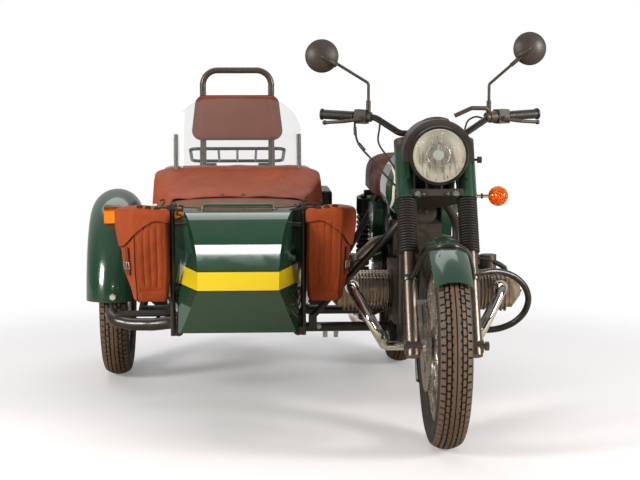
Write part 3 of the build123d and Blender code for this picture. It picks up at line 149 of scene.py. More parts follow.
def flatBar(width, thickness, sides=24, power=0.35):
    # a rounded flat section: the cosine and sine of an angle, each to a small power
    a = np.arange(sides) * 2 * pi / sides
    x = np.sign(np.cos(a)) * np.abs(np.cos(a))**power
    y = np.sign(np.sin(a)) * np.abs(np.sin(a))**power
    return np.stack([x * width / 2, y * thickness / 2], -1)


def latheGrid(profile, sides=48):
    # a line of (radius, height) points turned about Z
    profile = np.asarray(profile, float)
    turn = circle(1.0, sides)[:, None]
    flat = turn * profile[None, :, :1]
    height = np.broadcast_to(profile[None, :, 1:], (sides, len(profile), 1))
    return np.concatenate([flat, height], -1)


def framesFor(directions):
    # for each direction a set of three axes whose third is that direction
    z = unit(np.asarray(directions, float))
    helper = np.where(np.abs(z[:, 2:]) > 0.9, [[1.0, 0, 0]], [[0, 0, 1.0]])
    x = unit(np.cross(helper, z))
    return np.stack([x, np.cross(z, x), z], 1)


def scatter(name, grid, places, directions, body, look, close="rows", smooth=True):
    # copies of one small grid at many places as one piece
    places = np.asarray(places, float)
    base = grid.reshape(-1, 3)
    points = places[:, None] + np.einsum("pc,kcd->kpd", base, framesFor(directions))
    faces = gridFaces(*grid.shape[:2], close)
    offsets = np.arange(len(places))[:, None, None] * len(base)
    return addMesh(name, points.reshape(-1, 3), (faces[None] + offsets).reshape(-1, 4), body,
                   look, smooth)


def cushionGrid(outline, centre, half, axis, power=0.4, rows=41, swell=0.0):
    # an outline in a plane, shrunk and shifted by the cosine and sine of a latitude, each to a
    # small power, which gives flat faces with rounded edges; swell lifts the middle of both faces
    phi = np.linspace(-pi / 2, pi / 2, rows)
    c = np.abs(np.cos(phi))**power
    s = np.sign(np.sin(phi)) * np.abs(np.sin(phi))**power
    flat = c[:, None, None] * outline[None]
    lift = half * s * (1 + swell * (1 - c**2))
    parts = [flat[..., 0], flat[..., 1]]
    parts.insert(axis, np.broadcast_to(lift[:, None], flat.shape[:2]))
    return np.stack(parts, -1) + np.asarray(centre, float)


arcCount = 9  # points on each rounded corner


def cornerArcs(corners, radius):
    # the arcs that round a polygon's corners, with their first and last points
    corners = np.asarray(corners, float)
    before = unit(np.roll(corners, 1, 0) - corners)
    after = unit(np.roll(corners, -1, 0) - corners)
    half = np.arccos(np.clip(np.sum(before * after, -1), -1, 1)) / 2
    reach = (radius / np.tan(half))[:, None]
    centre = corners + unit(before + after) * (radius / np.sin(half))[:, None]
    start, end = corners + before * reach, corners + after * reach
    t = np.linspace(0, 1, arcCount)[None, :, None]
    ray = unit((start - centre)[:, None] * (1 - t) + (end - centre)[:, None] * t)
    return centre[:, None] + ray * radius, start, end


def roundedOutline(corners, radius, count=96):
    # a polygon whose corners are arcs, sampled evenly
    loop = cornerArcs(corners, radius)[0].reshape(-1, 2)
    loop = np.concatenate([loop, loop[:1]])
    s = np.concatenate([[0], np.cumsum(np.linalg.norm(np.diff(loop, axis=0), axis=1))])
    at = np.linspace(0, s[-1], count + 1)[:-1]
    return np.stack([np.interp(at, s, loop[:, 0]), np.interp(at, s, loop[:, 1])], -1)


def step(edge0, edge1, x):
    t = np.clip((x - edge0) / (edge1 - edge0), 0, 1)
    return t * t * (3 - 2 * t)


# Shader nodes
def feed(tree, socket, value):
    # links an input or sets it, a colour with 1 as its fourth number
    if isinstance(value, bpy.types.NodeSocket):
        tree.links.new(value, socket)
    elif value is not None:
        socket.default_value = (*value, 1.0) if socket.type == "RGBA" else value


def addNode(tree, kind, inputs):
    node = tree.nodes.new(kind)
    for key, value in inputs.items():
        feed(tree, node.inputs[key], value)
    return node


def mathNode(tree, operation, a, b=None, clamp=False):
    node = addNode(tree, "ShaderNodeMath", {0: a, 1: b})
    node.operation = operation
    node.use_clamp = clamp
    return node.outputs[0]


def rampNode(tree, value, low, high, toLow=0.0, toHigh=1.0):
    node = addNode(tree, "ShaderNodeMapRange", {0: value, 1: low, 2: high, 3: toLow, 4: toHigh})
    node.interpolation_type = "SMOOTHSTEP"
    return node.outputs[0]


def noiseNode(tree, vector, scale, detail=2.0, distortion=0.0):
    node = addNode(tree, "ShaderNodeTexNoise", {"Vector": vector, "Scale": scale,
                                                "Detail": detail, "Distortion": distortion})
    return node.outputs["Fac"]


def bumpNode(tree, height, distance, normal=None):
    node = addNode(tree, "ShaderNodeBump", {"Height": height, "Distance": distance,
                                            "Normal": normal})
    return node.outputs["Normal"]


# Shared effects as node groups: each takes a Vector and some numbers, and only Normal is a vector
def newGroup(name, numbers, results):
    tree = bpy.data.node_groups.new(name, "ShaderNodeTree")
    tree.interface.new_socket("Vector", in_out="INPUT", socket_type="NodeSocketVector")
    for socket, value in numbers.items():
        item = tree.interface.new_socket(socket, in_out="INPUT", socket_type="NodeSocketFloat")
        item.default_value = value
    for socket in results:
        kind = "NodeSocketVector" if socket == "Normal" else "NodeSocketFloat"
        tree.interface.new_socket(socket, in_out="OUTPUT", socket_type=kind)
    start, end = tree.nodes.new("NodeGroupInput"), tree.nodes.new("NodeGroupOutput")
    return tree, start.outputs, end.inputs


def grainGroup():
    # fine noise as a bump, for paint, plastic and cast metal
    tree, given, result = newGroup("surfaceGrain", {"Scale": 300.0, "Depth": 0.0002,
                                                    "Detail": 3.0}, ["Normal"])
    noise = noiseNode(tree, given["Vector"], given["Scale"], given["Detail"])
    tree.links.new(bumpNode(tree, noise, given["Depth"]), result["Normal"])
    return tree


def leatherGroup():
    # pebbled hide: cells with sunk borders, broken up by noise, over soft creases
    tree, given, result = newGroup("hideGrain", {"Scale": 260.0, "Depth": 0.0006,
                                                 "Crease": 0.003}, ["Normal", "Cells", "Folds"])
    place = given["Vector"]
    cells = addNode(tree, "ShaderNodeTexVoronoi", {"Vector": place, "Scale": given["Scale"]})
    cells.feature = "DISTANCE_TO_EDGE"
    rounded = mathNode(tree, "POWER", cells.outputs["Distance"], 0.4)
    fine = noiseNode(tree, place, mathNode(tree, "MULTIPLY", given["Scale"], 2.5))
    height = mathNode(tree, "ADD", rounded, mathNode(tree, "MULTIPLY", fine, 0.4))
    folds = noiseNode(tree, place, 14.0, 4.0, 0.6)
    bump = bumpNode(tree, height, given["Depth"], bumpNode(tree, folds, given["Crease"]))
    for name, socket in (("Normal", bump), ("Cells", rounded), ("Folds", folds)):
        tree.links.new(socket, result[name])
    return tree


def wearGroup():
    # bright where the rounded normal leaves the true one, broken up by noise
    tree, given, result = newGroup("edgeWear", {"Radius": 0.002, "Amount": 0.5}, ["Mask"])
    bevel = addNode(tree, "ShaderNodeBevel", {"Radius": given["Radius"]})
    bevel.samples = 4
    normal = addNode(tree, "ShaderNodeNewGeometry", {}).outputs["Normal"]
    dot = addNode(tree, "ShaderNodeVectorMath", {0: bevel.outputs["Normal"], 1: normal})
    dot.operation = "DOT_PRODUCT"
    edge = mathNode(tree, "SUBTRACT", 1.0, dot.outputs["Value"])
    noise = noiseNode(tree, given["Vector"], 90.0, 5.0)
    broken = mathNode(tree, "MULTIPLY", edge, mathNode(tree, "MULTIPLY", noise, 9.0))
    tree.links.new(mathNode(tree, "MULTIPLY", broken, given["Amount"], clamp=True),
                   result["Mask"])
    return tree


def dustGroup():
    # settles on what faces up, in patches
    tree, given, result = newGroup("dustFilm", {"Amount": 0.2}, ["Mask"])
    normal = addNode(tree, "ShaderNodeNewGeometry", {}).outputs["Normal"]
    up = addNode(tree, "ShaderNodeSeparateXYZ", {0: normal}).outputs["Z"]
    upward = mathNode(tree, "MULTIPLY_ADD", up, 0.5)
    upward.node.inputs[2].default_value = 0.5
    patch = mathNode(tree, "MULTIPLY", upward, noiseNode(tree, given["Vector"], 11.0, 7.0))
    tree.links.new(mathNode(tree, "MULTIPLY", patch, given["Amount"], clamp=True),
                   result["Mask"])
    return tree


groups = {"grain": grainGroup(), "hide": leatherGroup(), "wear": wearGroup(),
          "dust": dustGroup()}


class Surface:
    # one material with its Principled shader and short ways to add nodes

    def __init__(self, name):
        self.material = bpy.data.materials.new(name)
        self.material.use_nodes = True
        self.tree = self.material.node_tree
        self.shader = self.tree.nodes["Principled BSDF"]
        self.place = self.add("ShaderNodeTexCoord").outputs["Object"]

    def add(self, kind, **inputs):
        return addNode(self.tree, kind, inputs)

    def set(self, name, value):
        feed(self.tree, self.shader.inputs[name], value)

    def values(self, **given):
        for name, value in given.items():
            self.set(name.replace("_", " "), value)

    def group(self, key, result, **given):
        node = self.tree.nodes.new("ShaderNodeGroup")
        node.node_tree = groups[key]
        for name, value in {"Vector": self.place, **given}.items():
            feed(self.tree, node.inputs[name], value)
        return node.outputs[result]

    def noise(self, scale, detail=4.0, distortion=0.0, vector=None):
        return noiseNode(self.tree, vector or self.place, scale, detail, distortion)

    def stretched(self, x, y, z):
        return self.add("ShaderNodeMapping", Vector=self.place, Scale=(x, y, z)).outputs["Vector"]

    def mix(self, fac, a, b):
        node = self.tree.nodes.new("ShaderNodeMix")
        node.data_type = "RGBA"
        for key, value in ((0, fac), (6, a), (7, b)):
            feed(self.tree, node.inputs[key], value)
        return node.outputs[2]

    def ramp(self, *given):
        return rampNode(self.tree, *given)

    def math(self, operation, a, b=None, clamp=False):
        return mathNode(self.tree, operation, a, b, clamp)

    def axis(self, name):
        return self.add("ShaderNodeSeparateXYZ", Vector=self.place).outputs[name]

    def rough(self, value, low, high):
        self.set("Roughness", self.ramp(value, 0.3, 0.7, low, high))

    def finish(self, base, colour, gain, wear, dust, rough, scale, radius=0.001, **grain):
        # bright edges, a film of dust, uneven roughness and a fine grain over a base colour
        edge = self.group("wear", "Mask", Radius=radius, Amount=wear)
        base = self.mix(edge, base, scaled(colour, gain))
        self.set("Base Color", self.mix(self.group("dust", "Mask", Amount=dust), base,
                                        dustColour))
        self.rough(self.noise(scale, 8.0), *rough)
        self.set("Normal", self.group("grain", "Normal", **grain))


def scaled(colour, k):
    return tuple(min(1.0, c * k) for c in colour)


dustColour = (0.42, 0.38, 0.33)


def paint(name, colour, rough=(0.16, 0.24), coat=0.6, dust=0.06, wear=0.12, mottle=0.08,
          pattern=None):
    s = Surface(name)
    base = s.mix(s.noise(7.0, 6.0), scaled(colour, 1 - mottle), scaled(colour, 1 + mottle))
    if pattern:
        base = pattern(s, base)
    s.finish(base, colour, 2.2, wear, dust, rough, 25.0, 0.0015, Scale=160.0, Depth=0.000006,
             Detail=1.0)
    s.values(Coat_Weight=coat, Coat_Roughness=0.02, IOR=1.5)
    return s.material


def metal(name, colour, rough=(0.2, 0.38), depth=0.0001, scale=300.0, wear=0.2, dust=0.1,
          grime=0.25):
    s = Surface(name)
    stain = s.ramp(s.noise(18.0, 9.0, 0.4), 0.5, 0.75, 0.0, grime)
    s.finish(s.mix(stain, colour, scaled(colour, 0.35)), colour, 1.4, wear, dust, rough, 60.0,
             Scale=scale, Depth=depth, Detail=4.0)
    s.values(Metallic=1.0)
    return s.material


def plastic(name, colour, rough=(0.4, 0.55), depth=0.00012, scale=900.0, dust=0.15, wear=0.1,
            pattern=None):
    s = Surface(name)
    base = s.mix(s.noise(12.0, 7.0), scaled(colour, 0.8), scaled(colour, 1.25))
    if pattern:
        base = pattern(s, base)
    s.finish(base, colour, 2.5, wear, dust, rough, 30.0, Scale=scale, Depth=depth, Detail=3.0)
    return s.material


def leather(name, colour, rough=(0.38, 0.55), depth=0.0005, crease=0.002, scale=330.0):
    s = Surface(name)
    normal = s.group("hide", "Normal", Scale=scale, Depth=depth, Crease=crease)
    cells, folds = (normal.node.outputs[key] for key in ("Cells", "Folds"))
    base = s.mix(s.noise(9.0, 7.0, 0.3), scaled(colour, 0.74), scaled(colour, 1.22))
    # darker in the grain's sunk borders, a painted shade, and lighter where the broad folds rise, a
    # painted highlight
    base = s.mix(s.ramp(cells, 0.35, 0.75, 0.35, 0.0), base, scaled(colour, 0.4))
    base = s.mix(s.ramp(folds, 0.58, 0.8, 0.0, 0.5), base, scaled(colour, 1.5))
    s.set("Base Color", s.mix(s.group("dust", "Mask", Amount=0.03), base, dustColour))
    s.rough(folds, *rough)
    s.values(Normal=normal, Specular_IOR_Level=0.15)
    return s.material


def glass(name, tint=(0.97, 0.99, 0.98), rough=0.02, depth=0.0, scale=60.0, stretch=None,
          see=None):
    # clear sheet or lens; see is how much of a thin sheet shows where it is looked at squarely,
    # and it grows towards the edges as its reflections do
    s = Surface(name)
    s.values(IOR=1.5, Roughness=rough)
    smear = s.noise(6.0, 8.0)
    s.set("Base Color", s.mix(smear, tint, scaled(tint, 0.94)))
    if depth:
        vector = s.stretched(*stretch) if stretch else s.place
        wave = s.add("ShaderNodeTexWave", Scale=scale, Vector=vector).outputs["Fac"]
        s.set("Normal", bumpNode(s.tree, wave, depth))
    if see is None:
        s.values(Transmission_Weight=1.0)
    else:
        facing = s.add("ShaderNodeLayerWeight", Blend=0.35).outputs["Facing"]
        amount = s.ramp(facing, 0.0, 1.0, see, 0.9)
        s.set("Alpha", s.math("ADD", amount, s.ramp(smear, 0.5, 0.9, 0.0, see * 0.4), True))
    return s.material


def flutedBowl(name, colour):
    # a silvered bowl with darker streaks painted for the lens's upright flutes, a painted shade,
    # and its upper part painted pale, a painted highlight
    s = Surface(name)
    streak = s.noise(1.0, 5.0, 0.3, s.stretched(130.0, 20.0, 9.0))
    patch = s.noise(26.0, 5.0)
    # painted shade: darker upright streaks where the lens's flutes fall
    base = s.mix(s.ramp(streak, 0.45, 0.62), colour, scaled(colour, 0.38))
    base = s.mix(s.ramp(patch, 0.5, 0.72), base, scaled(colour, 1.25))
    # painted highlight: the bowl's upper part turns pale cream
    upperHighlight = s.ramp(s.axis("Z"), 0.935, 0.985, 0.0, 0.85)
    s.set("Base Color", s.mix(upperHighlight, base, (0.97, 0.95, 0.88)))
    s.rough(streak, 0.12, 0.25)
    s.values(Normal=s.group("grain", "Normal", Scale=140.0, Depth=0.00015), Metallic=0.1,
             Coat_Weight=0.5)
    return s.material


print("groups and material makers ready")

greenColour, blackColour = (0.010, 0.052, 0.028), (0.010, 0.008, 0.006)
bandValues = {"low": 0.488, "high": 0.550, "line": 0.003, "end": groundPoint[1] + 0.440}
stripeValues = {"middle": (groundPoint[1] + 0.640, 0.800), "reach": (0.165, 0.078),
                "width": 0.085}


def noseBand(s, base):
    # the plain yellow stripe round the tub's nose, edged with a thin dark line
    v = bandValues
    z, y = s.axis("Z"), s.axis("Y")

    def between(low, high):
        a = s.math("GREATER_THAN", z, low)
        b = s.math("LESS_THAN", z, high)
        return s.math("MULTIPLY", s.math("MULTIPLY", a, b), s.math("LESS_THAN", y, v["end"]))

    edged = s.mix(between(v["low"] - v["line"], v["high"] + v["line"]), base, (0.01, 0.01, 0.01))
    return s.mix(between(v["low"], v["high"]), edged, (0.86, 0.64, 0.013))


def wornTread(s, base):
    # the tread's blocks are scuffed to a warm brown, and its grooves stay dark
    layer = s.add("ShaderNodeAttribute")
    layer.attribute_name = "shade"
    scuff = s.math("MULTIPLY", layer.outputs["Fac"],
                   s.ramp(s.noise(40.0, 6.0), 0.2, 0.8, 0.7, 1.0))
    return s.mix(scuff, base, (0.150, 0.100, 0.066))


def tankStripe(s, base):
    # a cream line round a rounded panel on each side of the tank
    v = stripeValues
    parts = []
    for axis, middle, reach in zip("YZ", v["middle"], v["reach"]):
        shifted = s.math("DIVIDE", s.math("SUBTRACT", s.axis(axis), middle), reach)
        parts.append(s.math("POWER", s.math("ABSOLUTE", shifted), 3.0))
    off = s.math("ABSOLUTE", s.math("SUBTRACT", s.math("ADD", *parts), 1.0))
    return s.mix(s.math("LESS_THAN", off, v["width"]), base, (0.78, 0.74, 0.60))


materials = {
    "green": paint("greenPaint", greenColour),
    "tankGreen": paint("tankPaint", greenColour, pattern=tankStripe),
    "tubGreen": paint("tubPaint", greenColour, rough=(0.03, 0.06), pattern=noseBand),
    "blackGloss": paint("blackPaint", blackColour, rough=(0.26, 0.36), coat=0.2, wear=0.1),
    "blackFrame": paint("framePaint", blackColour, rough=(0.3, 0.45), coat=0.15, wear=0.15,
                        dust=0.04),
    "bronze": paint("bronzePaint", (0.050, 0.035, 0.026), rough=(0.25, 0.4), coat=0.3),
    "plastic": plastic("blackBrownPlastic", (0.030, 0.022, 0.017)),
    "rubber": plastic("rubber", (0.010, 0.008, 0.0065), rough=(0.45, 0.6), scale=500.0, dust=0.05),
    "tyre": plastic("tyreRubber", (0.012, 0.009, 0.007), rough=(0.6, 0.8), scale=350.0,
                    depth=0.0002, dust=0.07, wear=0.0, pattern=wornTread),
    "castAlloy": metal("castAlloy", (0.46, 0.375, 0.295), rough=(0.35, 0.55), depth=0.0004,
                       scale=420.0, grime=0.5),
    # the cast alloy at about a quarter of its brightness: painted shade on the engine block and
    # intake behind the front wheel
    "shadedCastAlloy": metal("shadedCastAlloy", (0.115, 0.095, 0.078), rough=(0.4, 0.6), depth=0.0003,
                       scale=420.0),
    "rimAlloy": metal("rimAlloy", (0.55, 0.51, 0.46), rough=(0.22, 0.34), depth=0.00002, wear=0.0,
                      dust=0.03),
    "legMetal": metal("legMetal", (0.185, 0.155, 0.13), rough=(0.3, 0.4), depth=0.00002, wear=0.0,
                      dust=0.03, grime=0.15),
    "chrome": metal("chromePlate", (0.80, 0.79, 0.76), rough=(0.04, 0.12), depth=0.00002,
                    wear=0.0, dust=0.02, grime=0.08),
    "steel": metal("plainSteel", (0.45, 0.44, 0.42), rough=(0.3, 0.45)),
    "tan": leather("tanLeather", (0.40, 0.070, 0.016)),
    "strap": leather("strapLeather", (0.20, 0.050, 0.022), crease=0.0005),
    "brown": leather("brownLeather", (0.095, 0.026, 0.016)),
    "piping": leather("darkPiping", (0.060, 0.024, 0.015), crease=0.0),
    "headrest": leather("headrestLeather", (0.22, 0.046, 0.018), crease=0.0006),
    # painted reflection: the apron's brown as the cowl mirrors it
    "apronReflection": leather("apronReflectionLeather", (0.20, 0.085, 0.040), crease=0.001),
    "cream": plastic("creamPaint", (0.72, 0.68, 0.56), rough=(0.3, 0.4)),
    "mirrorBowl": flutedBowl("mirrorBowl", (0.95, 0.87, 0.72)),
    "bulbCap": plastic("bulbCap", (0.42, 0.50, 0.46), rough=(0.15, 0.25), dust=0.0),
    "clear": glass("clearSheet", tint=(0.36, 0.37, 0.36), see=0.11, rough=0.01),
    "lens": glass("flutedLens", see=0.05, depth=0.0003, scale=28.0, stretch=(6.0, 0.0, 0.0)),
    "amber": glass("amberLens", tint=(0.93, 0.20, 0.008), rough=0.12, depth=0.0008),
    "indicatorLens": glass("indicatorLens", tint=(1.0, 0.55, 0.06), rough=0.08, depth=0.0004),
    "amberBowl": plastic("amberBowl", (0.80, 0.27, 0.010), rough=(0.2, 0.3), dust=0.0),
}
nodeMaterials = {
    "tyre": ["front_tyre", "rear_tyre", "sidecar_tyre"],
    "rimAlloy": ["front_wheel_core", "rear_wheel_core", "sidecar_wheel_core"],
    "tankGreen": ["fuel_tank"],
    "green": ["fork_shrouds", "front_mudguard", "rear_mudguard", "side_panels",
              "boot_lid", "grab_bar", "sidecar_mudguard"],
    "tubGreen": ["sidecar_body"],
    "legMetal": ["fork_legs"],
    "blackGloss": ["headlamp", "handlebar", "crash_bars", "bumper_bar", "fuel_can"],
    "blackFrame": ["fork_brace", "main_frame", "foot_controls", "swingarm",
                   "rear_shocks", "sidecar_frame", "sidecar_struts", "sidecar_suspension",
                   "boot_rack", "bag_racks"],
    "bronze": ["windscreen_posts", "headrest_hoop"],
    "plastic": ["fork_yokes", "nacelle", "bar_controls", "mirrors"],
    "rubber": ["fork_gaiters", "bar_grips", "control_cables"],
    # painted shade: engine block and intake take the darkened copy of the cast alloy
    "shadedCastAlloy": ["engine_block", "intake"],
    "castAlloy": ["cylinders", "rocker_covers"],
    "steel": ["brake_caliper"],
    "chrome": ["exhaust_pipes", "mufflers", "fuel_cap"],
    "tan": ["apron", "bag_outer", "bag_inner", "headrest"],
    "brown": ["rider_seat", "sidecar_seat"],
    "clear": ["windscreen"],
    "lens": ["headlamp_lens"],
    "amber": ["lamps", "front_indicator"],
}
for key, names in nodeMaterials.items():
    for name in names:
        data = nodes[name].data
        data.materials.clear()
        data.materials.append(materials[key])
print("CAD nodes painted")

# Tyres: a section carried round the wheel's axis, its tread sunk along the section's normal
tyreValues = {"pitches": 78, "rib": 14.0, "blockEdge": 29.0, "groove": 6.5, "middleGroove": 5.0,
              "notch": 5.0, "crown": 72.7, "crownFrom": 309}


def tyreHalf():
    # half section from bead to crown: sidewall points with two fine rings, then a circle
    wall = np.array([(30, 232.6), (30.4, 241.4), (34.5, 245), (36, 244.6), (37.5, 247), (44, 254.5),
                     (45.6, 255.4), (46, 258), (51, 268), (54.2, 282), (53.6, 296), (50.5, 306)])
    x = np.array([47, 45.5, 43, 40, 36, 33.6, 33.2, 29.2, 28.8, 25.5, 22, 19.2, 18.8, 14.2, 13.8,
                  10.9, 10.5, 6, 2.0, 1.6, 0])
    crown = tyreValues["crown"]
    arc = np.stack([x, wheelRadius - crown + np.sqrt(crown**2 - x**2)], -1)
    return np.concatenate([wall, arc])


def tyreGrid(centre):
    v = tyreValues
    half = tyreHalf()
    section = np.concatenate([half, half[-2::-1] * [-1, 1]])
    along = unit(np.gradient(section, axis=0))
    normal = np.stack([-along[:, 1], along[:, 0]], -1)
    normal *= np.sign(normal[len(half) - 1, 1])
    u = np.array([0, 0.015, 0.235, 0.25, 0.37, 0.5, 0.515, 0.735, 0.75, 0.87])
    a = (np.arange(v["pitches"])[:, None] + u).reshape(-1)
    u = np.broadcast_to(u, (v["pitches"], len(u))).reshape(-1)[:, None]
    x = np.abs(section[None, :, 0])
    u = np.where(section[None, :, 0] < 0, (u + 0.5) % 1, u + 0 * x)
    outer = (u > 0.01) & (u < 0.24)
    inner = (u > 0.51) & (u < 0.74)
    crown = section[None, :, 1] > v["crownFrom"]
    deep = np.where((x < 1.8) & crown, v["middleGroove"], 0.0)
    for low, high, where, sunk in ((v["rib"], 19.0, True, "groove"),
                                   (v["blockEdge"], 33.4, crown, "groove"),
                                   (18.9, 29.1, inner, "groove"),
                                   (33.3, 46.9, outer & crown, "groove"),
                                   (10.7, 14.1, outer, "notch")):
        deep = np.where((x > low) & (x < high) & where, v[sunk], deep)
    across = section[None, :, 0] - normal[None, :, 0] * deep
    radius = section[None, :, 1] - normal[None, :, 1] * deep
    turn = (a * 2 * pi / v["pitches"])[:, None]
    grid = np.stack([across, radius * np.cos(turn), radius * np.sin(turn)], -1)
    worn = np.where(crown & (deep == 0) & (x < 47.5), 1.0, 0.0) + 0 * turn
    return grid + np.asarray(centre, float), worn


for name, x, y in (("front", 0, 0), ("rear", 0, 1500), ("sidecar", -1140, 1280)):
    grid, worn = tyreGrid((x, y, wheelRadius))
    addPiece(f"{name}_tyre_tread", grid, f"{name}_wheel", "tyre", "rows and columns",
             f"{name}_tyre", shade=worn)
print("tyres done")


# Bags: plan outlines stacked by height, with pleats pressed into the end that faces forwards
bagValues = {"front": 331.0, "depth": 120.0, "low": 431.0, "high": 747.0, "pleats": 4,
             "pleatDepth": 3.4, "edgeRadius": 15.0, "edgeCounts": (56, 26, 18, 24, 20),
             "flapEdge": [0.84, 0.875, 0.885, 0.77, 0.72, 0.60, 0.58, 0.80, 0.88, 0.84]}


def cornerLoop(corners, radius):
    # a polygon with rounded corners, a fixed count of points on each arc and each side
    arcs, start, end = cornerArcs(corners, radius)
    rows = []
    for k, count in enumerate(bagValues["edgeCounts"]):
        s = (np.arange(count) + 1)[:, None] / (count + 1)
        rows += [arcs[k], end[k] * (1 - s) + start[(k + 1) % len(corners)] * s]
    return np.concatenate(rows)


def bagRows():
    # how far each row is drawn in from the outline, and its height from 0 to 1
    tall = bagValues["high"] - bagValues["low"]
    r = bagValues["edgeRadius"]
    turn = np.linspace(0, pi / 2, 9)
    cap = np.linspace(1, 0, 8)[:-1]
    inset = [r + cap * 90, r * (1 - np.sin(turn)), np.zeros(84), r * (1 - np.cos(turn)),
             r + cap[::-1] * 90]
    rise = [np.zeros(7), r * (1 - np.cos(turn)), np.linspace(r, tall - r, 86)[1:-1],
            tall - r + r * np.sin(turn), np.full(7, tall)]
    return np.concatenate(inset), np.concatenate(rise) / tall


def bagGrid(side, innerX, wide):
    # outlines blended from a slim bottom to a wide top, then pleats, creases and a soft top
    v = bagValues
    r, d = v["edgeRadius"], v["depth"]
    bottom = cornerLoop([(4, 3), (112, 0), (126, 46), (122, d - 6), (6, d - 4)], r)
    middle = cornerLoop([(0, 0), (117, 0), (wide * 0.88, 50), (wide * 0.86, d - 2), (0, d)], r)
    top = cornerLoop([(2, 4), (121, 2), (wide, 54), (wide - 6, d - 2), (2, d)], r)
    inset, h = bagRows()
    share = step(0, 0.45, h)[:, None, None]
    high = step(0.4, 0.9, h)[:, None, None]
    loop = (bottom * (1 - share) + middle * share) * (1 - high) + top * high
    centre = loop.mean(1, keepdims=True)
    half = np.abs(loop - centre).max(1, keepdims=True)
    loop = centre + (loop - centre) * (1 - inset[:, None, None] / half).clip(0)
    z = np.broadcast_to(h[:, None], loop.shape[:2])
    columns = np.arange(loop.shape[1])[None]
    t = (columns - arcCount) / (v["edgeCounts"][0] - 1)
    front = step(0.0, 0.06, t) * (1 - step(0.94, 1.0, t)) * (inset[:, None] < 1)
    ridge = np.abs(np.sin(pi * v["pleats"] * t))**0.55
    window = step(0.13, 0.2, z) * (1 - step(0.8, 0.92, z))
    push = (0.55 - ridge) * v["pleatDepth"] * window
    push = push + 3.0 * np.exp(-((z - 0.125) / 0.011)**2) - 2.0 * np.exp(-((z - 0.07) / 0.03)**2)
    push = push + 0.5 * np.sin(31 * z + 9 * t) + 0.3 * np.sin(67 * z - 5 * t + 1)
    x = loop[..., 0] + 0.5 * np.sin(11 * z + columns * 0.05) * (inset[:, None] < 1)
    y = loop[..., 1] + push * front
    slump = np.where(z > 0.97, -3.0 * np.sin(x * 0.045) * (inset[:, None] > 6), 0)
    height = v["low"] + z * (v["high"] - v["low"]) + slump
    return np.stack([innerX + side * x, v["front"] + y, height], -1)


def outward(grid):
    # unit normals of a grid closed along its columns, turned away from its middle
    around = np.roll(grid, -1, 1) - np.roll(grid, 1, 1)
    normal = np.cross(np.gradient(grid, axis=0), around)
    normal /= np.maximum(np.linalg.norm(normal, axis=-1, keepdims=True), 1e-9)
    middle = grid.reshape(-1, 3).mean(0)
    return normal * np.sign(np.sum(normal * (grid - middle), -1).mean())


def rowsAt(grid, rows, columns):
    # points between the rows of a grid: rows may be fractions
    low = np.clip(np.floor(rows).astype(int), 0, len(grid) - 2)
    share = (rows - low)[..., None]
    return grid[low, columns] * (1 - share) + grid[low + 1, columns] * share


def thickened(grid, thickness, normal):
    # both faces of a sheet as one closed loop of rows
    return np.concatenate([grid, (grid + normal * thickness)[::-1]])


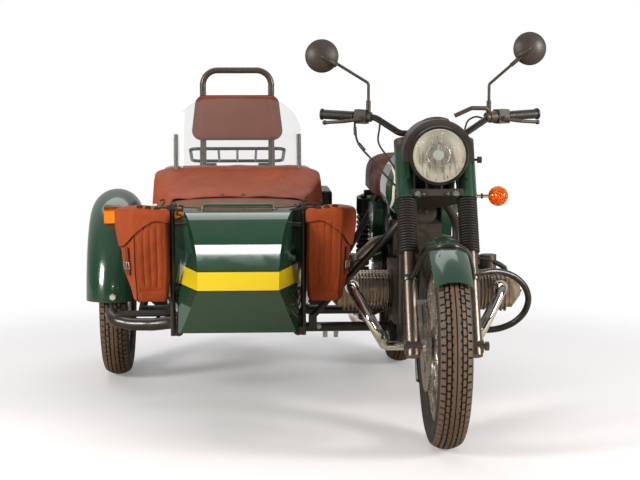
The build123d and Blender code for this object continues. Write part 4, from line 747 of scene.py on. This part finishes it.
def bag(name, side, innerX, wide, replaced):
    v = bagValues
    grid = bagGrid(side, innerX, wide)
    normal = outward(grid)
    columnCount, lastRow = grid.shape[1], len(grid) - 1
    addPiece(name, grid, "chassis", "tan", replaced=replaced)
    starts = np.cumsum([0] + [arcCount + c for c in v["edgeCounts"]])
    # the flap over the top, its lower edge a curve across the end and down the far side
    keys = [0, arcCount + 3, arcCount + 20, starts[1] - 4, starts[1] + 6,
            starts[1] + arcCount + 16, starts[2] + arcCount, starts[3], starts[4], columnCount]
    columns = np.arange(columnCount + 1)
    edge = np.interp(columns, keys, v["flapEdge"])
    for k in range(2):
        edge = np.convolve(np.pad(edge, 8, mode="wrap"), np.ones(17) / 17, "valid")
    edgeRow = np.interp(edge, bagRows()[1][16:100], np.arange(16, 100))
    s = np.linspace(0, 1, 34)[:, None]
    rows = lastRow * (1 - s) + edgeRow[None] * s
    wrapped = np.broadcast_to(columns % columnCount, rows.shape)
    skin, out = rowsAt(grid, rows, wrapped), rowsAt(normal, rows, wrapped)
    lift = 1.2 + 2.2 * s[..., None]
    addPiece(name + "_flap", thickened(skin + out * lift, 2.6, out)[:, :-1], "chassis", "tan",
             "rows and columns")
    # piping along the flap's edge and down both edges of the end panel
    seam = (skin + out * (lift + 1.3))[-1, :-1]
    addPiece(name + "_piping_0", sweepGrid(seam, circle(1.7, 10), closed=True, up=(0, 0, 1)),
             "chassis", "piping", "rows and columns")
    for k, column in ((1, arcCount // 2), (2, starts[1] + arcCount // 2)):
        path = grid[8:lastRow - 7, column] + normal[8:lastRow - 7, column] * 0.6
        addPiece(f"{name}_piping_{k}", sweepGrid(path, circle(2.0, 10), up=(1, 0, 0)), "chassis",
                 "piping")
    # strap from the flap down the far side, with its buckle
    rows = np.linspace(66, 38, 24)
    column = np.full(24, starts[1] + arcCount + 12)
    path, out = rowsAt(grid, rows, column), rowsAt(normal, rows, column)
    addPiece(name + "_strap", sweepGrid(path + out * 6.5, flatBar(17, 3.4), up=out[12]),
             "chassis", "strap")
    out = out[15]
    spot = path[15] + out * 8.5
    up = unit(path[14] - path[16])
    across = np.cross(up, out)
    corners = np.array([(-1, -1), (-1, 0), (-1, 1), (0, 1), (1, 1), (1, 0), (1, -1), (0, -1)])
    loop = spot + up * corners[:, :1] * 11 + across * corners[:, 1:] * 13
    addPiece(name + "_buckle_ring", sweepGrid(loop, circle(2.0, 10), closed=True, up=out),
             "chassis", "steel", "rows and columns")
    tongue = sweepGrid([spot - up * 11, spot + out * 2.5, spot + up * 11], circle(1.5, 8),
                       up=across)
    addPiece(name + "_buckle_tongue", tongue, "chassis", "steel")
    # three leather loops along the top's front edge
    a = np.linspace(-1, 1, 13)[:, None]
    loops = []
    for t in (0.15, 0.5, 0.85):
        column = int(arcCount + t * v["edgeCounts"][0])
        base = grid[lastRow - 8, column] + normal[lastRow - 8, column] * 4.5
        loops.append(sweepGrid(base + a * [7.0, 0, 0] + (1 - a**4) * [0, -1.5, 5.0],
                               flatBar(9, 2.4), up=(0, 1, 0)))
    addPiece(name + "_loops", loops, "chassis", "piping")


bag("bag_outer_leather", -1, -898.8, 183.0, "bag_outer")
bag("bag_inner_leather", 1, -431.2, 169.0, "bag_inner")
print("bags done")


# Apron: arched in front, flatter and square-shouldered behind, with folds running from its corners
apronValues = {"frontY": 490.0, "rearY": 934.0, "thickness": 2.6, "hem": 13.0, "foldDepth": 5.0,
               "key": [492, 825, 934], "wide": [226.5, 305.0, 306.5],
               "side": [758.0, 800.0, 812.0], "crown": [775.0, 839.0, 851.0],
               "low": [747.0, 721.0, 707.0], "power": [2.0, 3.4, 5.5]}


def apronSection(y, a):
    # half width, shoulder, crown and lowest edge follow the distance back; a runs from -1 to 1,
    # its ends hanging down the sides
    wide, side, crown, low, power = (np.interp(y, apronValues["key"], apronValues[key])
                                     for key in ("wide", "side", "crown", "low", "power"))
    across = np.clip(np.abs(a) / 0.8, 0, 1)
    x = np.sin(across * pi / 2)**1.06
    z = side + (crown - side) * np.clip(1 - x**power, 0, 1)**(1 / np.minimum(power, 2.2))
    fall = np.clip((np.abs(a) - 0.8) / 0.2, 0, 1)
    z = np.where(fall > 0, side + (low - side) * fall, z)
    return np.sign(a) * wide * x * (1 + 0.02 * fall), z


def apronGrid():
    v = apronValues
    y = np.linspace(v["frontY"], v["rearY"], 84)[:, None]
    a = np.linspace(-1, 1, 181)[None, :]
    x, z = apronSection(y, a)
    y = y + 0 * a
    fold = np.zeros_like(x)
    for x0, y0, lean, width, deep in ((-150, 560, 0.75, 22, 1.0), (-30, 640, 0.95, 26, 0.8),
                                      (60, 690, 1.1, 20, -0.7), (150, 560, -0.7, 24, 0.8),
                                      (210, 700, -0.5, 18, -0.6), (-220, 720, 0.5, 18, -0.6)):
        off = (x - x0) * np.cos(lean) - (y - y0) * np.sin(lean)
        along = (x - x0) * np.sin(lean) + (y - y0) * np.cos(lean)
        fold += deep * np.exp(-(off / width)**2) * np.exp(-(along / 170)**2)
    fold += 0.25 * np.sin(x * 0.035 + y * 0.021) + 0.2 * np.sin(x * 0.06 - y * 0.045)
    z = z + fold * v["foldDepth"] * step(0.0, 0.12, 0.86 - np.abs(a))
    sag = 4.0 * np.exp(-((y - 720) / 120)**2) * np.exp(-(x / 150)**2)
    hem = step(0, 3, v["hem"] - (y - v["frontY"])) * 1.2
    return np.stack([tubMiddle + x, y, z - sag + hem], -1)


apron = apronGrid()
apronNormal = unit(np.cross(np.gradient(apron, axis=1), np.gradient(apron, axis=0)))
apronNormal *= np.sign(apronNormal[40, 90, 2])
shell = thickened(apron, apronValues["thickness"], apronNormal)
middle = shell * 0.5 + shell[::-1] * 0.5
shell = np.concatenate([middle[:, :1], shell, middle[:, -1:]], 1)
piece = addPiece("apron_leather", shell, "chassis", "tan", "rows", "apron")
# a brown sheet that runs down from the front edge to the cowl, further forward in the middle: a
# painted reflection of the apron in the cowl's paint
a = np.linspace(-0.74, 0.74, 61)
x, top = apronSection(np.full(61, 496.0), a)
s = np.linspace(0, 1, 16)[:, None]
y = 497 * (1 - s) + (398 + 80 * (np.abs(a) / 0.74)**4) * s
cowl = 743.5 + 14 * (y - 355) / 145
apronReflection = np.stack([tubMiddle + x + 0 * s, y, (top - 3) * (1 - s) + cowl * s + 3 * np.sin(pi * s)],
                  -1)
addPiece("apron_reflection_sheet", thickened(apronReflection, 2.0, np.array([0, 0.35, -0.94])), "chassis", "apronReflection",
         "rows")
# stitches along the hem, and two press studs
row = int(np.argmin(np.abs(apron[:, 0, 1] - 499)))
normals = apronNormal[row, 8:-8:2]
stitch = sweepGrid([(-1.5, 0, 0), (0, 0, 0.4), (1.5, 0, 0)], circle(0.55, 6), up=(0, 1, 0))
scatter("apron_stitches", stitch, apron[row, 8:-8:2] + normals * 3.0, normals, "chassis",
        "piping", "rows and columns")
stud = latheGrid([(0, 7), (4.5, 6), (6.5, 3), (7.5, 0), (0, -1)], 20)
spots = [(x, 507, apron[3, np.argmin(np.abs(apron[3, :, 0] - x)), 2] + 4) for x in (-720, -647)]
scatter("apron_studs", stud, spots, [(0, -0.3, 1)] * 2, "chassis", "plastic")
print("apron done")


# Headrest: a rounded trapezoid, its front face with a raised middle and two sloping sides
headrestValues = {"lowHalf": 186.0, "highHalf": 164.0, "low": 918.0, "high": 1096.0,
                  "rear": 1506.8, "front": 1438.0, "slope": 24.0, "facet": 36.0, "round": 17.0,
                  "corner": 36.0, "wrinkle": 1.4, "crown": 5.0}


def insetRows(loop, y, insets):
    # copies of an outline in XZ, each drawn in about its middle by its own distance
    centre = (loop.max(0) + loop.min(0)) / 2
    half = (loop.max(0) - loop.min(0)) / 2
    ring = centre + (loop - centre) * np.clip(1 - np.asarray(insets)[:, None, None] / half, 0, 1)
    depth = np.broadcast_to(np.asarray(y)[:, None], ring.shape[:2])
    return np.stack([ring[..., 0], depth, ring[..., 1]], -1)


v = headrestValues
loop = roundedOutline([(-v["lowHalf"], v["low"]), (v["lowHalf"], v["low"]),
                       (v["highHalf"], v["high"]), (-v["highHalf"], v["high"])],
                      v["corner"], 220)
turn = np.linspace(0, pi / 2, 10)
r = v["round"]
cap = np.linspace(200, r, 26)
insets = np.concatenate([cap, r * (1 - np.sin(turn)), r * (1 - np.cos(turn)), cap[::-1]])
depth = np.concatenate([np.full(26, v["rear"]), v["rear"] - r * (1 - np.cos(turn)) * 0.8,
                        v["front"] + r - r * np.sin(turn), np.full(26, v["front"])])
grid = insetRows(loop, depth, insets)
grid[..., 0] += tubMiddle
side = np.interp(grid[..., 2], [v["low"], v["high"]], [v["lowHalf"], v["highHalf"]])
edge = side - np.abs(grid[..., 0] - tubMiddle)
frontShare = np.concatenate([np.zeros(36), np.linspace(0.4, 1, 10), np.ones(26)])[:, None]
grid[..., 1] += frontShare * v["slope"] * (1 - step(-4, v["facet"], edge))
wrinkle = v["wrinkle"] * np.sin(grid[..., 0] * 0.05) * np.sin(grid[..., 2] * 0.06)
grid[..., 1] += frontShare * (wrinkle - v["crown"] * np.clip(edge / 150, 0, 1))
addPiece("headrest_pad", grid, "chassis", "headrest", replaced="headrest")
path = insetRows(loop, [v["rear"] - r - 6], [-0.6])[0]
path[:, 0] += tubMiddle
addPiece("headrest_piping", sweepGrid(path, circle(2.6, 10), closed=True, up=(0, 1, 0)),
         "chassis", "piping", "rows and columns")

# Rider's saddle: sections across, lofted fore and aft, stepped up for the pillion
saddleValues = {"front": 848.0, "rear": 1450.0, "foot": 737.0, "top": 826.0, "pillion": 34.0,
                "ribs": 7, "ribDepth": 2.6, "crown": 5.0, "seam": 0.86, "seamDepth": 2.2}
v = saddleValues
share = np.linspace(0, 1, 150)
blend = (np.sin(np.clip(share / 0.07, 0, 1) * pi / 2)
         * np.sin(np.clip((1 - share) / 0.09, 0, 1) * pi / 2))
y = v["front"] + share * (v["rear"] - v["front"])
half = np.interp(y, [848, 900, 980, 1100, 1450], [104, 122, 142, 150, 148])
top = (v["top"] + 6 * step(900, 1000, y) + v["pillion"] * step(1140, 1190, y)
       - 3 * step(1350, 1450, y))
t = np.linspace(-1, 1, 121)[None, :]
wide = np.sign(t) * np.abs(np.sin(t * pi / 2))**0.55
tall = np.abs(np.cos(t * pi / 2))**0.42
low = v["foot"] + (1 - blend[:, None]) * 14
x = wide * (half * (0.62 + 0.38 * blend))[:, None]
z = low + (top[:, None] - low) * tall * (0.45 + 0.55 * blend[:, None])
ribbed = step(1180, 1200, y) * (1 - step(1420, 1440, y))
ribs = np.abs(np.sin((y - 1190) / 240 * v["ribs"] * pi))**0.5
z = z + v["crown"] * (1 - wide**2) * (tall > 0.5)
z = z + (v["ribDepth"] * ribbed * (ribs - 0.6))[:, None] * (np.abs(wide) < 0.8)
z = z - v["seamDepth"] * np.exp(-((np.abs(wide) - v["seam"]) / 0.02)**2)
saddle = np.stack([x, y[:, None] + 0 * x, z], -1)
base = saddle * [1, 1, 0] + [0, 0, v["foot"]]
saddle = np.concatenate([saddle, base[:, ::-1]], 1)
saddle = capped(saddle, (saddle[0].mean(0), saddle[-1].mean(0)))
addPiece("saddle_cover", saddle, "chassis", "brown", replaced="rider_seat")
for side, word in ((-1, "right"), (1, "left")):
    column = int(np.argmin(np.abs(wide[0] - side * 0.9)))
    path = np.stack([x[6:-6, column], y[6:-6], z[6:-6, column] + 1.2], -1)
    addPiece(f"saddle_piping_{word}", sweepGrid(path, circle(2.4, 10), up=(0, 0, 1)), "chassis",
             "piping")


# Sidecar seat: a crowned cushion and a back with upright channels
pillowValues = {"halfWidth": 213, "power": 0.3, "swell": 0.35, "channelWidth": 5.0,
                "channelDepth": 0.16}
pillowRows = {"passenger_cushion": {"tall": 233, "round": 62.0, "centre": (tubMiddle, 1170, 420),
                                    "half": 74.0, "axis": 2, "channels": (-0.5, 0, 0.5),
                                    "tilt": 0.0},
              "passenger_back": {"tall": 178, "round": 44.0, "centre": (tubMiddle, 1434, 600),
                                 "half": 34.0, "axis": 1, "channels": (-0.6, -0.2, 0.2, 0.6),
                                 "tilt": 0.13}}
for name, v in pillowRows.items():
    # an outline shrunk and lifted by powers of a latitude, its faces sunk along the channels
    p = pillowValues
    wide, tall, axis = p["halfWidth"], v["tall"], v["axis"]
    outline = roundedOutline([(-wide, -tall), (wide, -tall), (wide, tall), (-wide, tall)],
                             v["round"], 200)
    grid = cushionGrid(outline, (0, 0, 0), v["half"], axis, p["power"], 71, p["swell"])
    wide = np.abs(outline[:, 0]).max()
    groove = sum(np.exp(-((grid[..., 0] - wide * c) / p["channelWidth"])**2)
                 for c in v["channels"])
    face = np.clip(1 - np.abs(grid[..., axis]) / (v["half"] * 1.6), 0, 1)
    grid[..., axis] *= 1 - p["channelDepth"] * groove * (1 - face * 0.6)
    c, s = np.cos(v["tilt"]), np.sin(v["tilt"])
    y, z = grid[..., 1] * c + grid[..., 2] * s, -grid[..., 1] * s + grid[..., 2] * c
    grid = np.stack([grid[..., 0], y, z], -1) + np.asarray(v["centre"], float)
    addPiece(name, grid, "chassis", "brown", replaced="sidecar_seat")
print("headrest and seats done")


# Headlamp: mirror bowl, bulb shield with its ring and struts, pale seal round the glass
lampValues = {"centre": (0.0, 165.0, 939.0), "bowlDepth": 83.0, "bowlRise": 66.0,
              "bowlRadius": 86.5, "shieldRadius": 38.0, "sealRadius": 86.4}
v = lampValues
lampCentre = np.array(v["centre"])


def addTurned(name, profile, sides, spot, body, look, replaced=None):
    # a profile turned about Z, laid over so that its height runs rearwards from a point
    grid = latheGrid(profile, sides)[..., [0, 2, 1]] + np.asarray(spot, float)
    return addPiece(name, grid, body, look, "rows", replaced)


r = np.linspace(0.0, v["bowlRadius"], 40)
bowl = np.stack([r, v["bowlDepth"] - v["bowlRise"] * (r / v["bowlRadius"])**2], -1)
addTurned("lamp_reflector", np.concatenate([bowl, bowl[::-1] + [0.4, 0.9]]), 96, lampCentre,
          "steering", "mirrorBowl")


def lampRing(name, depth, radius, wire, look):
    # a round wire bent to a circle about the lamp's axis
    ring = np.insert(circle(radius, 72), 1, depth, axis=1)
    addPiece(name, sweepGrid(lampCentre + ring, circle(wire, 10), closed=True, up=(0, 1, 0)),
             "steering", look, "rows and columns")


lampRing("lamp_shield_ring", 26, v["shieldRadius"], 2.6, "rimAlloy")
addTurned("lamp_bulb_cap", [(0, 20), (9, 20.5), (16, 23), (18, 27), (18, 44), (11, 56), (0, 58)],
          40, lampCentre, "steering", "bulbCap")
struts = []
for turn in np.radians((90, 210, 330)):
    out = np.array([np.cos(turn), 0, np.sin(turn)])
    for reach, depth in (((17, 28, 38), (28, 28, 28)), ((38, 48, 60), (28, 34, 48))):
        path = lampCentre + out * np.array(reach)[:, None] + np.outer(depth, (0, 1, 0))
        struts.append(sweepGrid(path, circle(1.6, 8)))
addPiece("lamp_struts", struts, "steering", "rimAlloy")
lampRing("lamp_seal", 3.5, v["sealRadius"], 2.4, "cream")
print("lamp done")


# Smooth bars, wires and sleeves; a profile carried along a curve through a few points
def bars(name, lines, body, look, replaced=None, sides=16, count=70):
    grids = [sweepGrid(smoothPath(points, count), circle(radius, sides))
             for points, radius in lines]
    addPiece(name, grids, body, look, replaced=replaced)


crashPath = [(100, 436, 556), (174, 440, 510), (223, 458, 512), (273, 478, 504), (317, 492, 483),
             (351, 502, 447), (364, 508, 406), (354, 515, 361), (320, 528, 320), (275, 542, 296),
             (220, 556, 286), (112, 562, 298)]
crashFoot = [(122, 561, 299), (114, 561, 280), (111, 561, 262)]
bumperPath = [(-884, 600, 296), (-882, 625, 304), (-986, 700, 292), (-1069, 738, 290),
              (-1120, 770, 300), (-1137, 820, 316)]
bracePath = [(-96, 78, 548), (-83, 52, 581), (-75, 10, 614), (-57, -50, 651), (-33, -98, 669),
             (7, -112, 673), (44, -92, 663), (70, -46, 638), (87, 8, 601), (98, 52, 570),
             (103, 78, 551)]
bars("crash_bar_tube", [(crashPath, 11.5), (crashFoot, 10)], "chassis", "blackGloss",
     "crash_bars", count=120)
bars("bumper_tube", [(bumperPath, 23.0)], "chassis", "blackGloss", "bumper_bar",
     24, 90)
bars("brace_hoop", [(bracePath, 7.5)], "steering", "blackGloss", "fork_brace",
     14, 110)

# Step plate on the guard tube: a flat slab with rounded edges and raised ribs
plateValues = {"left": -1118.0, "right": -912.0, "front": 742.0, "rear": 826.0, "top": 322.0,
               "half": 4.5, "ribs": 6, "corner": 14.0, "margin": 12}
v = plateValues
left, right, front, rear, top = (v[key] for key in ("left", "right", "front", "rear", "top"))
outline = roundedOutline([(left, front), (right, front), (right, rear), (left, rear)],
                         v["corner"], 80)
middle = np.array([(left + right) / 2, (front + rear) / 2])
addPiece("step_plate", cushionGrid(outline - middle, (*middle, top - v["half"]), v["half"], 2,
                                   0.12, 25), "chassis", "rubber")
ribs = [([(left + 14, y, top), (middle[0], y, top + 0.6), (right - 14, y, top)], 3.0)
        for y in np.linspace(front + v["margin"], rear - v["margin"], v["ribs"])]
feet = [([(x, 784, top - 6), (x, 776, 300), (x, 760, 288)], 8.0) for x in (-1090, -960)]
bars("step_ribs", ribs + feet, "chassis", "rubber", None, 10, 12)

# Fork sleeves: rounded pleats along each leg, and a clamp ring under them for the hoop
sleeveValues = {"low": 322.0, "high": 510.0, "pleats": 20, "radius": 33.5, "depth": 6.0,
                "bore": 23.5, "clamp": 222.0}
v = sleeveValues


def onLegs(profile, sides, foot):
    # a profile turned about Z, stood on both fork legs at a distance up from the axle
    grid = latheGrid(profile, sides) @ framesFor([legAxis])[0]
    return [np.array([side * legSide, 0, wheelRadius]) + legAxis * foot + grid
            for side in (-1, 1)]


h = np.linspace(0, 1, v["pleats"] * 8 + 1)
wave = np.abs(np.sin(pi * h * v["pleats"]))**0.6
tall = v["high"] - v["low"]
profile = np.stack([v["radius"] - v["depth"] * (1 - wave), h * tall], -1)
profile = np.concatenate([[(v["bore"], 0)], profile, [(v["bore"], tall)]])
addPiece("fork_sleeves", onLegs(profile, 40, v["low"]), "steering", "rubber", "rows",
         "fork_gaiters")
clamp = [(23.2, 0), (29, 0), (29.5, 1), (29.5, 17), (29, 18), (23.2, 18)]
addPiece("hoop_clamps", onLegs(clamp, 36, v["clamp"]), "steering", "blackGloss",
         "rows")

# Front indicator: domed amber lens with rings, a dark bowl, its stalk and clamp
spot = (208.0, 222.0, 798.0)
dome = np.array([(0, -13), (9, -12.3), (10, -11.2), (18, -9.5), (19, -8.2), (26, -4), (27, -2.4),
                 (32, 4), (33, 9), (33, 15)], float)
addTurned("indicator_lens", np.concatenate([dome, dome[::-1] * [0.94, 1] + [0, 2.0]]), 48, spot,
          "steering", "indicatorLens", "front_indicator")
addTurned("indicator_bowl", [(0, 12), (30, 12), (33.5, 12.5), (33.5, 17), (28, 30), (14, 38),
                             (0, 39)], 48, spot, "steering", "amberBowl")
bars("indicator_stalk", [([(104, 238, 798), (150, 240, 798), (184, 242, 798)], 6.0)], "steering",
     "chrome", None, 16, 20)
bars("indicator_clamp", [([(118, 238, 798), (126, 238, 798), (134, 239, 798)], 12.5),
                         ([(150, 240, 798), (153, 240, 798), (156, 240, 798)], 9.0),
                         ([(127, 236, 786), (127, 230, 778), (127, 226, 772)], 5.0)], "steering",
     "plastic", None, 20, 12)

# Spark plug caps and leads on both heads
leadPath = [(150, 610, 556), (205, 588, 541), (232, 580, 536), (262, 580, 524)]
capPaths = [([(250, 580, 530), (272, 580, 519), (292, 580, 505)], 9.0),
            ([(290, 580, 508), (294, 580, 496), (297, 580, 484)], 7.5)]
for word, side, back in (("left", 1, 0), ("right", -1, 36)):
    lead, *caps = [(np.array(points) * [side, 1, 1] + [0, back, 0], radius)
                   for points, radius in [(leadPath, 3.6)] + capPaths]
    bars(f"plug_lead_{word}", [lead], "chassis", "rubber", None, 10, 40)
    bars(f"plug_cap_{word}", caps, "chassis", "rubber", None, 14, 16)

# Control cables from the bars into the nacelle
bars("bar_cables", [([(-264, 398, 1040), (-262, 400, 1008), (-256, 400, 978), (-207, 362, 912),
                      (-156, 322, 853), (-110, 296, 806)], 3.6),
                    ([(-178, 372, 1052), (-180, 384, 1019), (-185, 380, 979), (-154, 340, 920),
                      (-114, 300, 858)], 3.2),
                    ([(182, 376, 1050), (150, 398, 1056), (128, 392, 1046), (112, 372, 1016),
                      (100, 345, 990)], 3.2)],
     "steering", "rubber", "control_cables", 10, 70)
bars("cable_adjusters", [([(-263, 400, 1022), (-262, 400, 1008), (-261, 400, 994)], 5.5),
                         ([(-250, 396, 966), (-240, 388, 954), (-231, 381, 944)], 5.5)],
     "steering", "plastic", None, 12, 12)

# Horn behind the steering head, on a strap from the frame
addTurned("horn", [(0, -11), (5, -12), (8, -9), (16, -8), (30, -11), (36, -10), (40, -5), (43, -3),
                   (43, 4), (38, 7), (30, 14), (14, 20), (0, 21)], 56, (-20.0, 404.0, 730.0),
          "chassis", "plastic")
bars("horn_strap", [([(-20, 418, 745), (-14, 420, 790), (0, 420, 836)], 6.0)], "chassis",
     "blackFrame", None, 10, 20)

# Ribs on the mirror bowls, from the arm's end to the middle, thickest a third of the way along
ribPath = {"right": [(-330, 380, 1232), (-344, 370, 1243), (-362, 366, 1254), (-384, 368.5, 1266)],
           "left": [(291, 372, 1262), (304, 362, 1272), (320, 357.5, 1284), (338, 359, 1296)]}
taper = np.interp(np.linspace(0, 1, 40), [0, 0.35, 0.8, 1], [7.5, 8.5, 6.0, 2.0])
for word, points in ribPath.items():
    addPiece(f"mirror_rib_{word}", sweepGrid(smoothPath(points, 40), circle(), taper), "steering",
             "plastic")

# Speedometer in the back of the nacelle: a cup with a raised rim, its marks and needle
dialValues = {"spot": (0.0, 316.0, 1028.0), "axis": (0.0, 0.87, 0.5), "marks": 11,
              "markReach": (23.0, 26.0, 29.0), "needleReach": (-4.0, 6.0, 19.0), "height": 1.0}
v = dialValues
dialFrame = framesFor([v["axis"]])[0]
cup = [(0, -30), (37, -30), (38, -29), (38, -1), (37, 1.5), (35, 3), (33, 3), (32, 1.5),
       (31.8, 0.6), (31.2, 0.4), (0, 0.4)]
addPiece("speedometer", np.array(v["spot"]) + latheGrid(cup, 48) @ dialFrame, "steering",
         "plastic", "rows")
turns = np.radians(np.linspace(-130, 130, v["marks"]))
marks = [(np.array([[np.sin(t) * r, np.cos(t) * r, v["height"]] for r in reach]) @ dialFrame
          + v["spot"], radius)
         for t, reach, radius in [(t, v["markReach"], 0.9) for t in turns]
         + [(turns[1], v["needleReach"], 1.2)]]
bars("dial_marks", marks, "steering", "cream", None, 8, 4)

# Luggage hooks over the tops of the bag racks, each an S bent from wire
a = np.linspace(0, 2 * pi, 9)[:, None]
hooks = []
for x, z, lean in ((-919, 762, 0.7), (-889, 757, -0.5), (-862, 742, 0.2),
                   (-476, 745, -0.2), (-432, 757, 0.5), (-391, 760, -0.7)):
    across = 13 * np.sin(a) * [np.cos(lean), 0.25, np.sin(lean)]
    along = 17 * (1 - a / pi) * [-np.sin(lean), 0.1, np.cos(lean)]
    hooks.append((across + along + np.array([x, 366, z]), 3.0))
bars("luggage_hooks", hooks, "chassis", "rubber", None, 8, 40)
bars("hook_straps", [([(-930, 368, 752), (-890, 362, 748), (-850, 368, 740)], 4.5),
                     ([(-480, 368, 740), (-436, 362, 748), (-396, 368, 752)], 4.5)],
     "chassis", "rubber", None, 8, 20)


# Fasteners: hex heads on washers
def hexHead(radius, height):
    # a hexagon with eased corners, scaled by a share at each height from the washer to the top
    a = np.repeat((np.arange(6) + 0.5) * pi / 3, 2) + np.tile([-0.03, 0.03], 6)
    rim = np.stack([np.cos(a), np.sin(a)], -1) * radius
    levels = [(0, -0.5), (1.25, -0.5), (1.25, 1.2), (1, 1.2), (0.99, height * 0.85),
              (0.88, height), (0, height)]
    return np.stack([np.concatenate([rim * k, np.full((12, 1), z)], 1) for k, z in levels], 1)


yokeFacing, forwards = (0, -0.89, 0.45), (0, -1, 0)
for name, places, direction, radius, height, body, look in (
        ("yoke_bolts", [(-66, 207, 808), (61, 207, 808)], yokeFacing, 9.5, 9, "steering",
         "chrome"),
        ("yoke_screws", [(-45, 207, 808), (34, 207, 808)], yokeFacing, 6.0, 7, "steering",
         "chrome"),
        ("guard_bolt", [(-1134, 876.5, 366)], forwards, 10.0, 7, "chassis", "chrome"),
        ("frame_bolts", [(-378, 581, 300), (-520, 560, 296), (-810, 560, 296)], forwards, 8.0, 7,
         "chassis", "steel"),
        ("cover_nut_left", [(344.4, 592, 425)], (1, 0, 0), 9.0, 9, "chassis", "chrome"),
        ("cover_nut_right", [(-344.4, 628, 425)], (-1, 0, 0), 9.0, 9, "chassis", "chrome")):
    scatter(name, hexHead(radius, height), places, [direction] * len(places), body, look,
            smooth=False)
bars("frame_studs", [([(x, 600, 282), (x, 600, 270), (x, 600, 258)], 8.5) for x in (-354, -315)],
     "chassis", "steel", None, 14, 8)
# a dark bar under the sidecar's lamp: partly the lamp's black base, partly painted shade beneath
# the lamp
bars("lamp_base_and_shade", [([(-1170, 1030, 630), (-1140, 1030, 630), (-1110, 1030, 630)], 7.0)], "chassis",
     "plastic", None, 12, 8)
print("bars, bolts and cables done")

# Camera at the photograph's view
cameraValues = {"place": (-0.243, -6.0815, 1.304), "down": 6.79, "turn": 2.893, "lens": 92.53}
v = cameraValues
cameraData = bpy.data.cameras.new("camera")
cameraData.lens = v["lens"]
cameraData.sensor_width = 36.0
cameraData.clip_end = 100.0
camera = bpy.data.objects.new("camera", cameraData)
camera.location = v["place"]
camera.rotation_euler = Euler((np.radians(90 - v["down"]), 0.0, -np.radians(v["turn"])))
bpy.context.scene.collection.objects.link(camera)
bpy.context.scene.camera = camera

# Pale floor that turns to plain white away from the object, white backdrop and softboxes
stageValues = {"floorSeen": (0.93, 0.92, 0.935), "floorBounce": (0.56, 0.50, 0.41),
               "whiteFrom": 1.5, "whiteTo": 2.5, "shadowLift": 0.2, "glossyFloor": 0.5,
               "dark": 0.05, "behind": 0.34, "above": 0.22, "behindRamp": (0.0, 0.7),
               "aboveRamp": (0.2, 0.9), "mirrorRamp": (-1.0, 3.0)}
v = stageValues
floorMesh = bpy.data.meshes.new("floor")
floorMesh.from_pydata([(-30, -30, 0), (30, -30, 0), (30, 60, 0), (-30, 60, 0)], [],
                      [(0, 1, 2, 3)])
floor = bpy.data.objects.new("floor", floorMesh)
bpy.context.scene.collection.objects.link(floor)
s = Surface("paleFloor")
rays = s.add("ShaderNodeLightPath").outputs
s.set("Base Color", s.mix(rays["Is Camera Ray"], v["floorBounce"], v["floorSeen"]))
s.values(Roughness=0.7, IOR=1.2)
away = addNode(s.tree, "ShaderNodeVectorMath", {0: s.place})
away.operation = "LENGTH"
far = s.ramp(away.outputs["Value"], v["whiteFrom"], v["whiteTo"], v["shadowLift"])
direct = s.math("ADD", rays["Is Camera Ray"], rays["Is Transmission Ray"])
mirrored = s.math("MULTIPLY", rays["Is Glossy Ray"],
                  s.ramp(s.axis("Y"), *v["mirrorRamp"], 0.0, v["glossyFloor"]))
share = s.math("MULTIPLY", far, s.math("ADD", direct, mirrored, True))
plain = s.add("ShaderNodeEmission").outputs[0]
mixer = addNode(s.tree, "ShaderNodeMixShader", {0: share, 1: s.shader.outputs[0], 2: plain})
feed(s.tree, s.tree.nodes["Material Output"].inputs["Surface"], mixer.outputs[0])
floorMesh.materials.append(s.material)

world = bpy.data.worlds.new("studio")
bpy.context.scene.world = world
world.use_nodes = True
tree = world.node_tree
rays = addNode(tree, "ShaderNodeLightPath", {}).outputs
seen = mathNode(tree, "MAXIMUM", rays["Is Camera Ray"], rays["Is Transmission Ray"], True)
place = addNode(tree, "ShaderNodeTexCoord", {}).outputs["Generated"]
sky = addNode(tree, "ShaderNodeSeparateXYZ", {0: place})
behind = rampNode(tree, sky.outputs["Y"], *v["behindRamp"], 0.0, v["behind"])
above = rampNode(tree, sky.outputs["Z"], *v["aboveRamp"], 0.0, v["above"])
lit = mathNode(tree, "ADD", mathNode(tree, "ADD", behind, above), v["dark"], True)
blend = addNode(tree, "ShaderNodeMix", {0: seen, 2: lit, 3: 1.0})
background = tree.nodes["Background"]
feed(tree, background.inputs["Color"], (1.0, 1.0, 1.0))
feed(tree, background.inputs["Strength"], blend.outputs[0])

white, warm = (1.0, 1.0, 1.0), (1.0, 0.955, 0.90)
for name, place, target, size, power, colour in (
        ("topBox", (-0.3, 2.1, 4.4), (0.0, 0.3, 0.4), (5.5, 3.2), 98.0, white),
        ("leftBox", (-4.6, -3.4, 2.4), (0.0, 0.0, 0.5), (1.5, 1.9), 300.0, warm),
        ("rightBox", (4.8, -3.0, 2.2), (0.3, 0.0, 0.6), (1.4, 2.2), 300.0, warm),
        ("noseBox", (-0.243, -8.1, 2.27), (-0.243, -0.6, 0.6), (0.80, 0.24), 12.5, white)):
    data = bpy.data.lights.new(name, "AREA")
    data.shape = "RECTANGLE"
    data.size, data.size_y = size
    data.energy = power
    data.color = colour
    light = bpy.data.objects.new(name, data)
    light.location = place
    aim = Vector(target) - Vector(place)
    light.rotation_euler = aim.to_track_quat("-Z", "Y").to_euler()
    bpy.context.scene.collection.objects.link(light)
bpy.context.scene.view_settings.view_transform = "Standard"
print("camera and light ready")
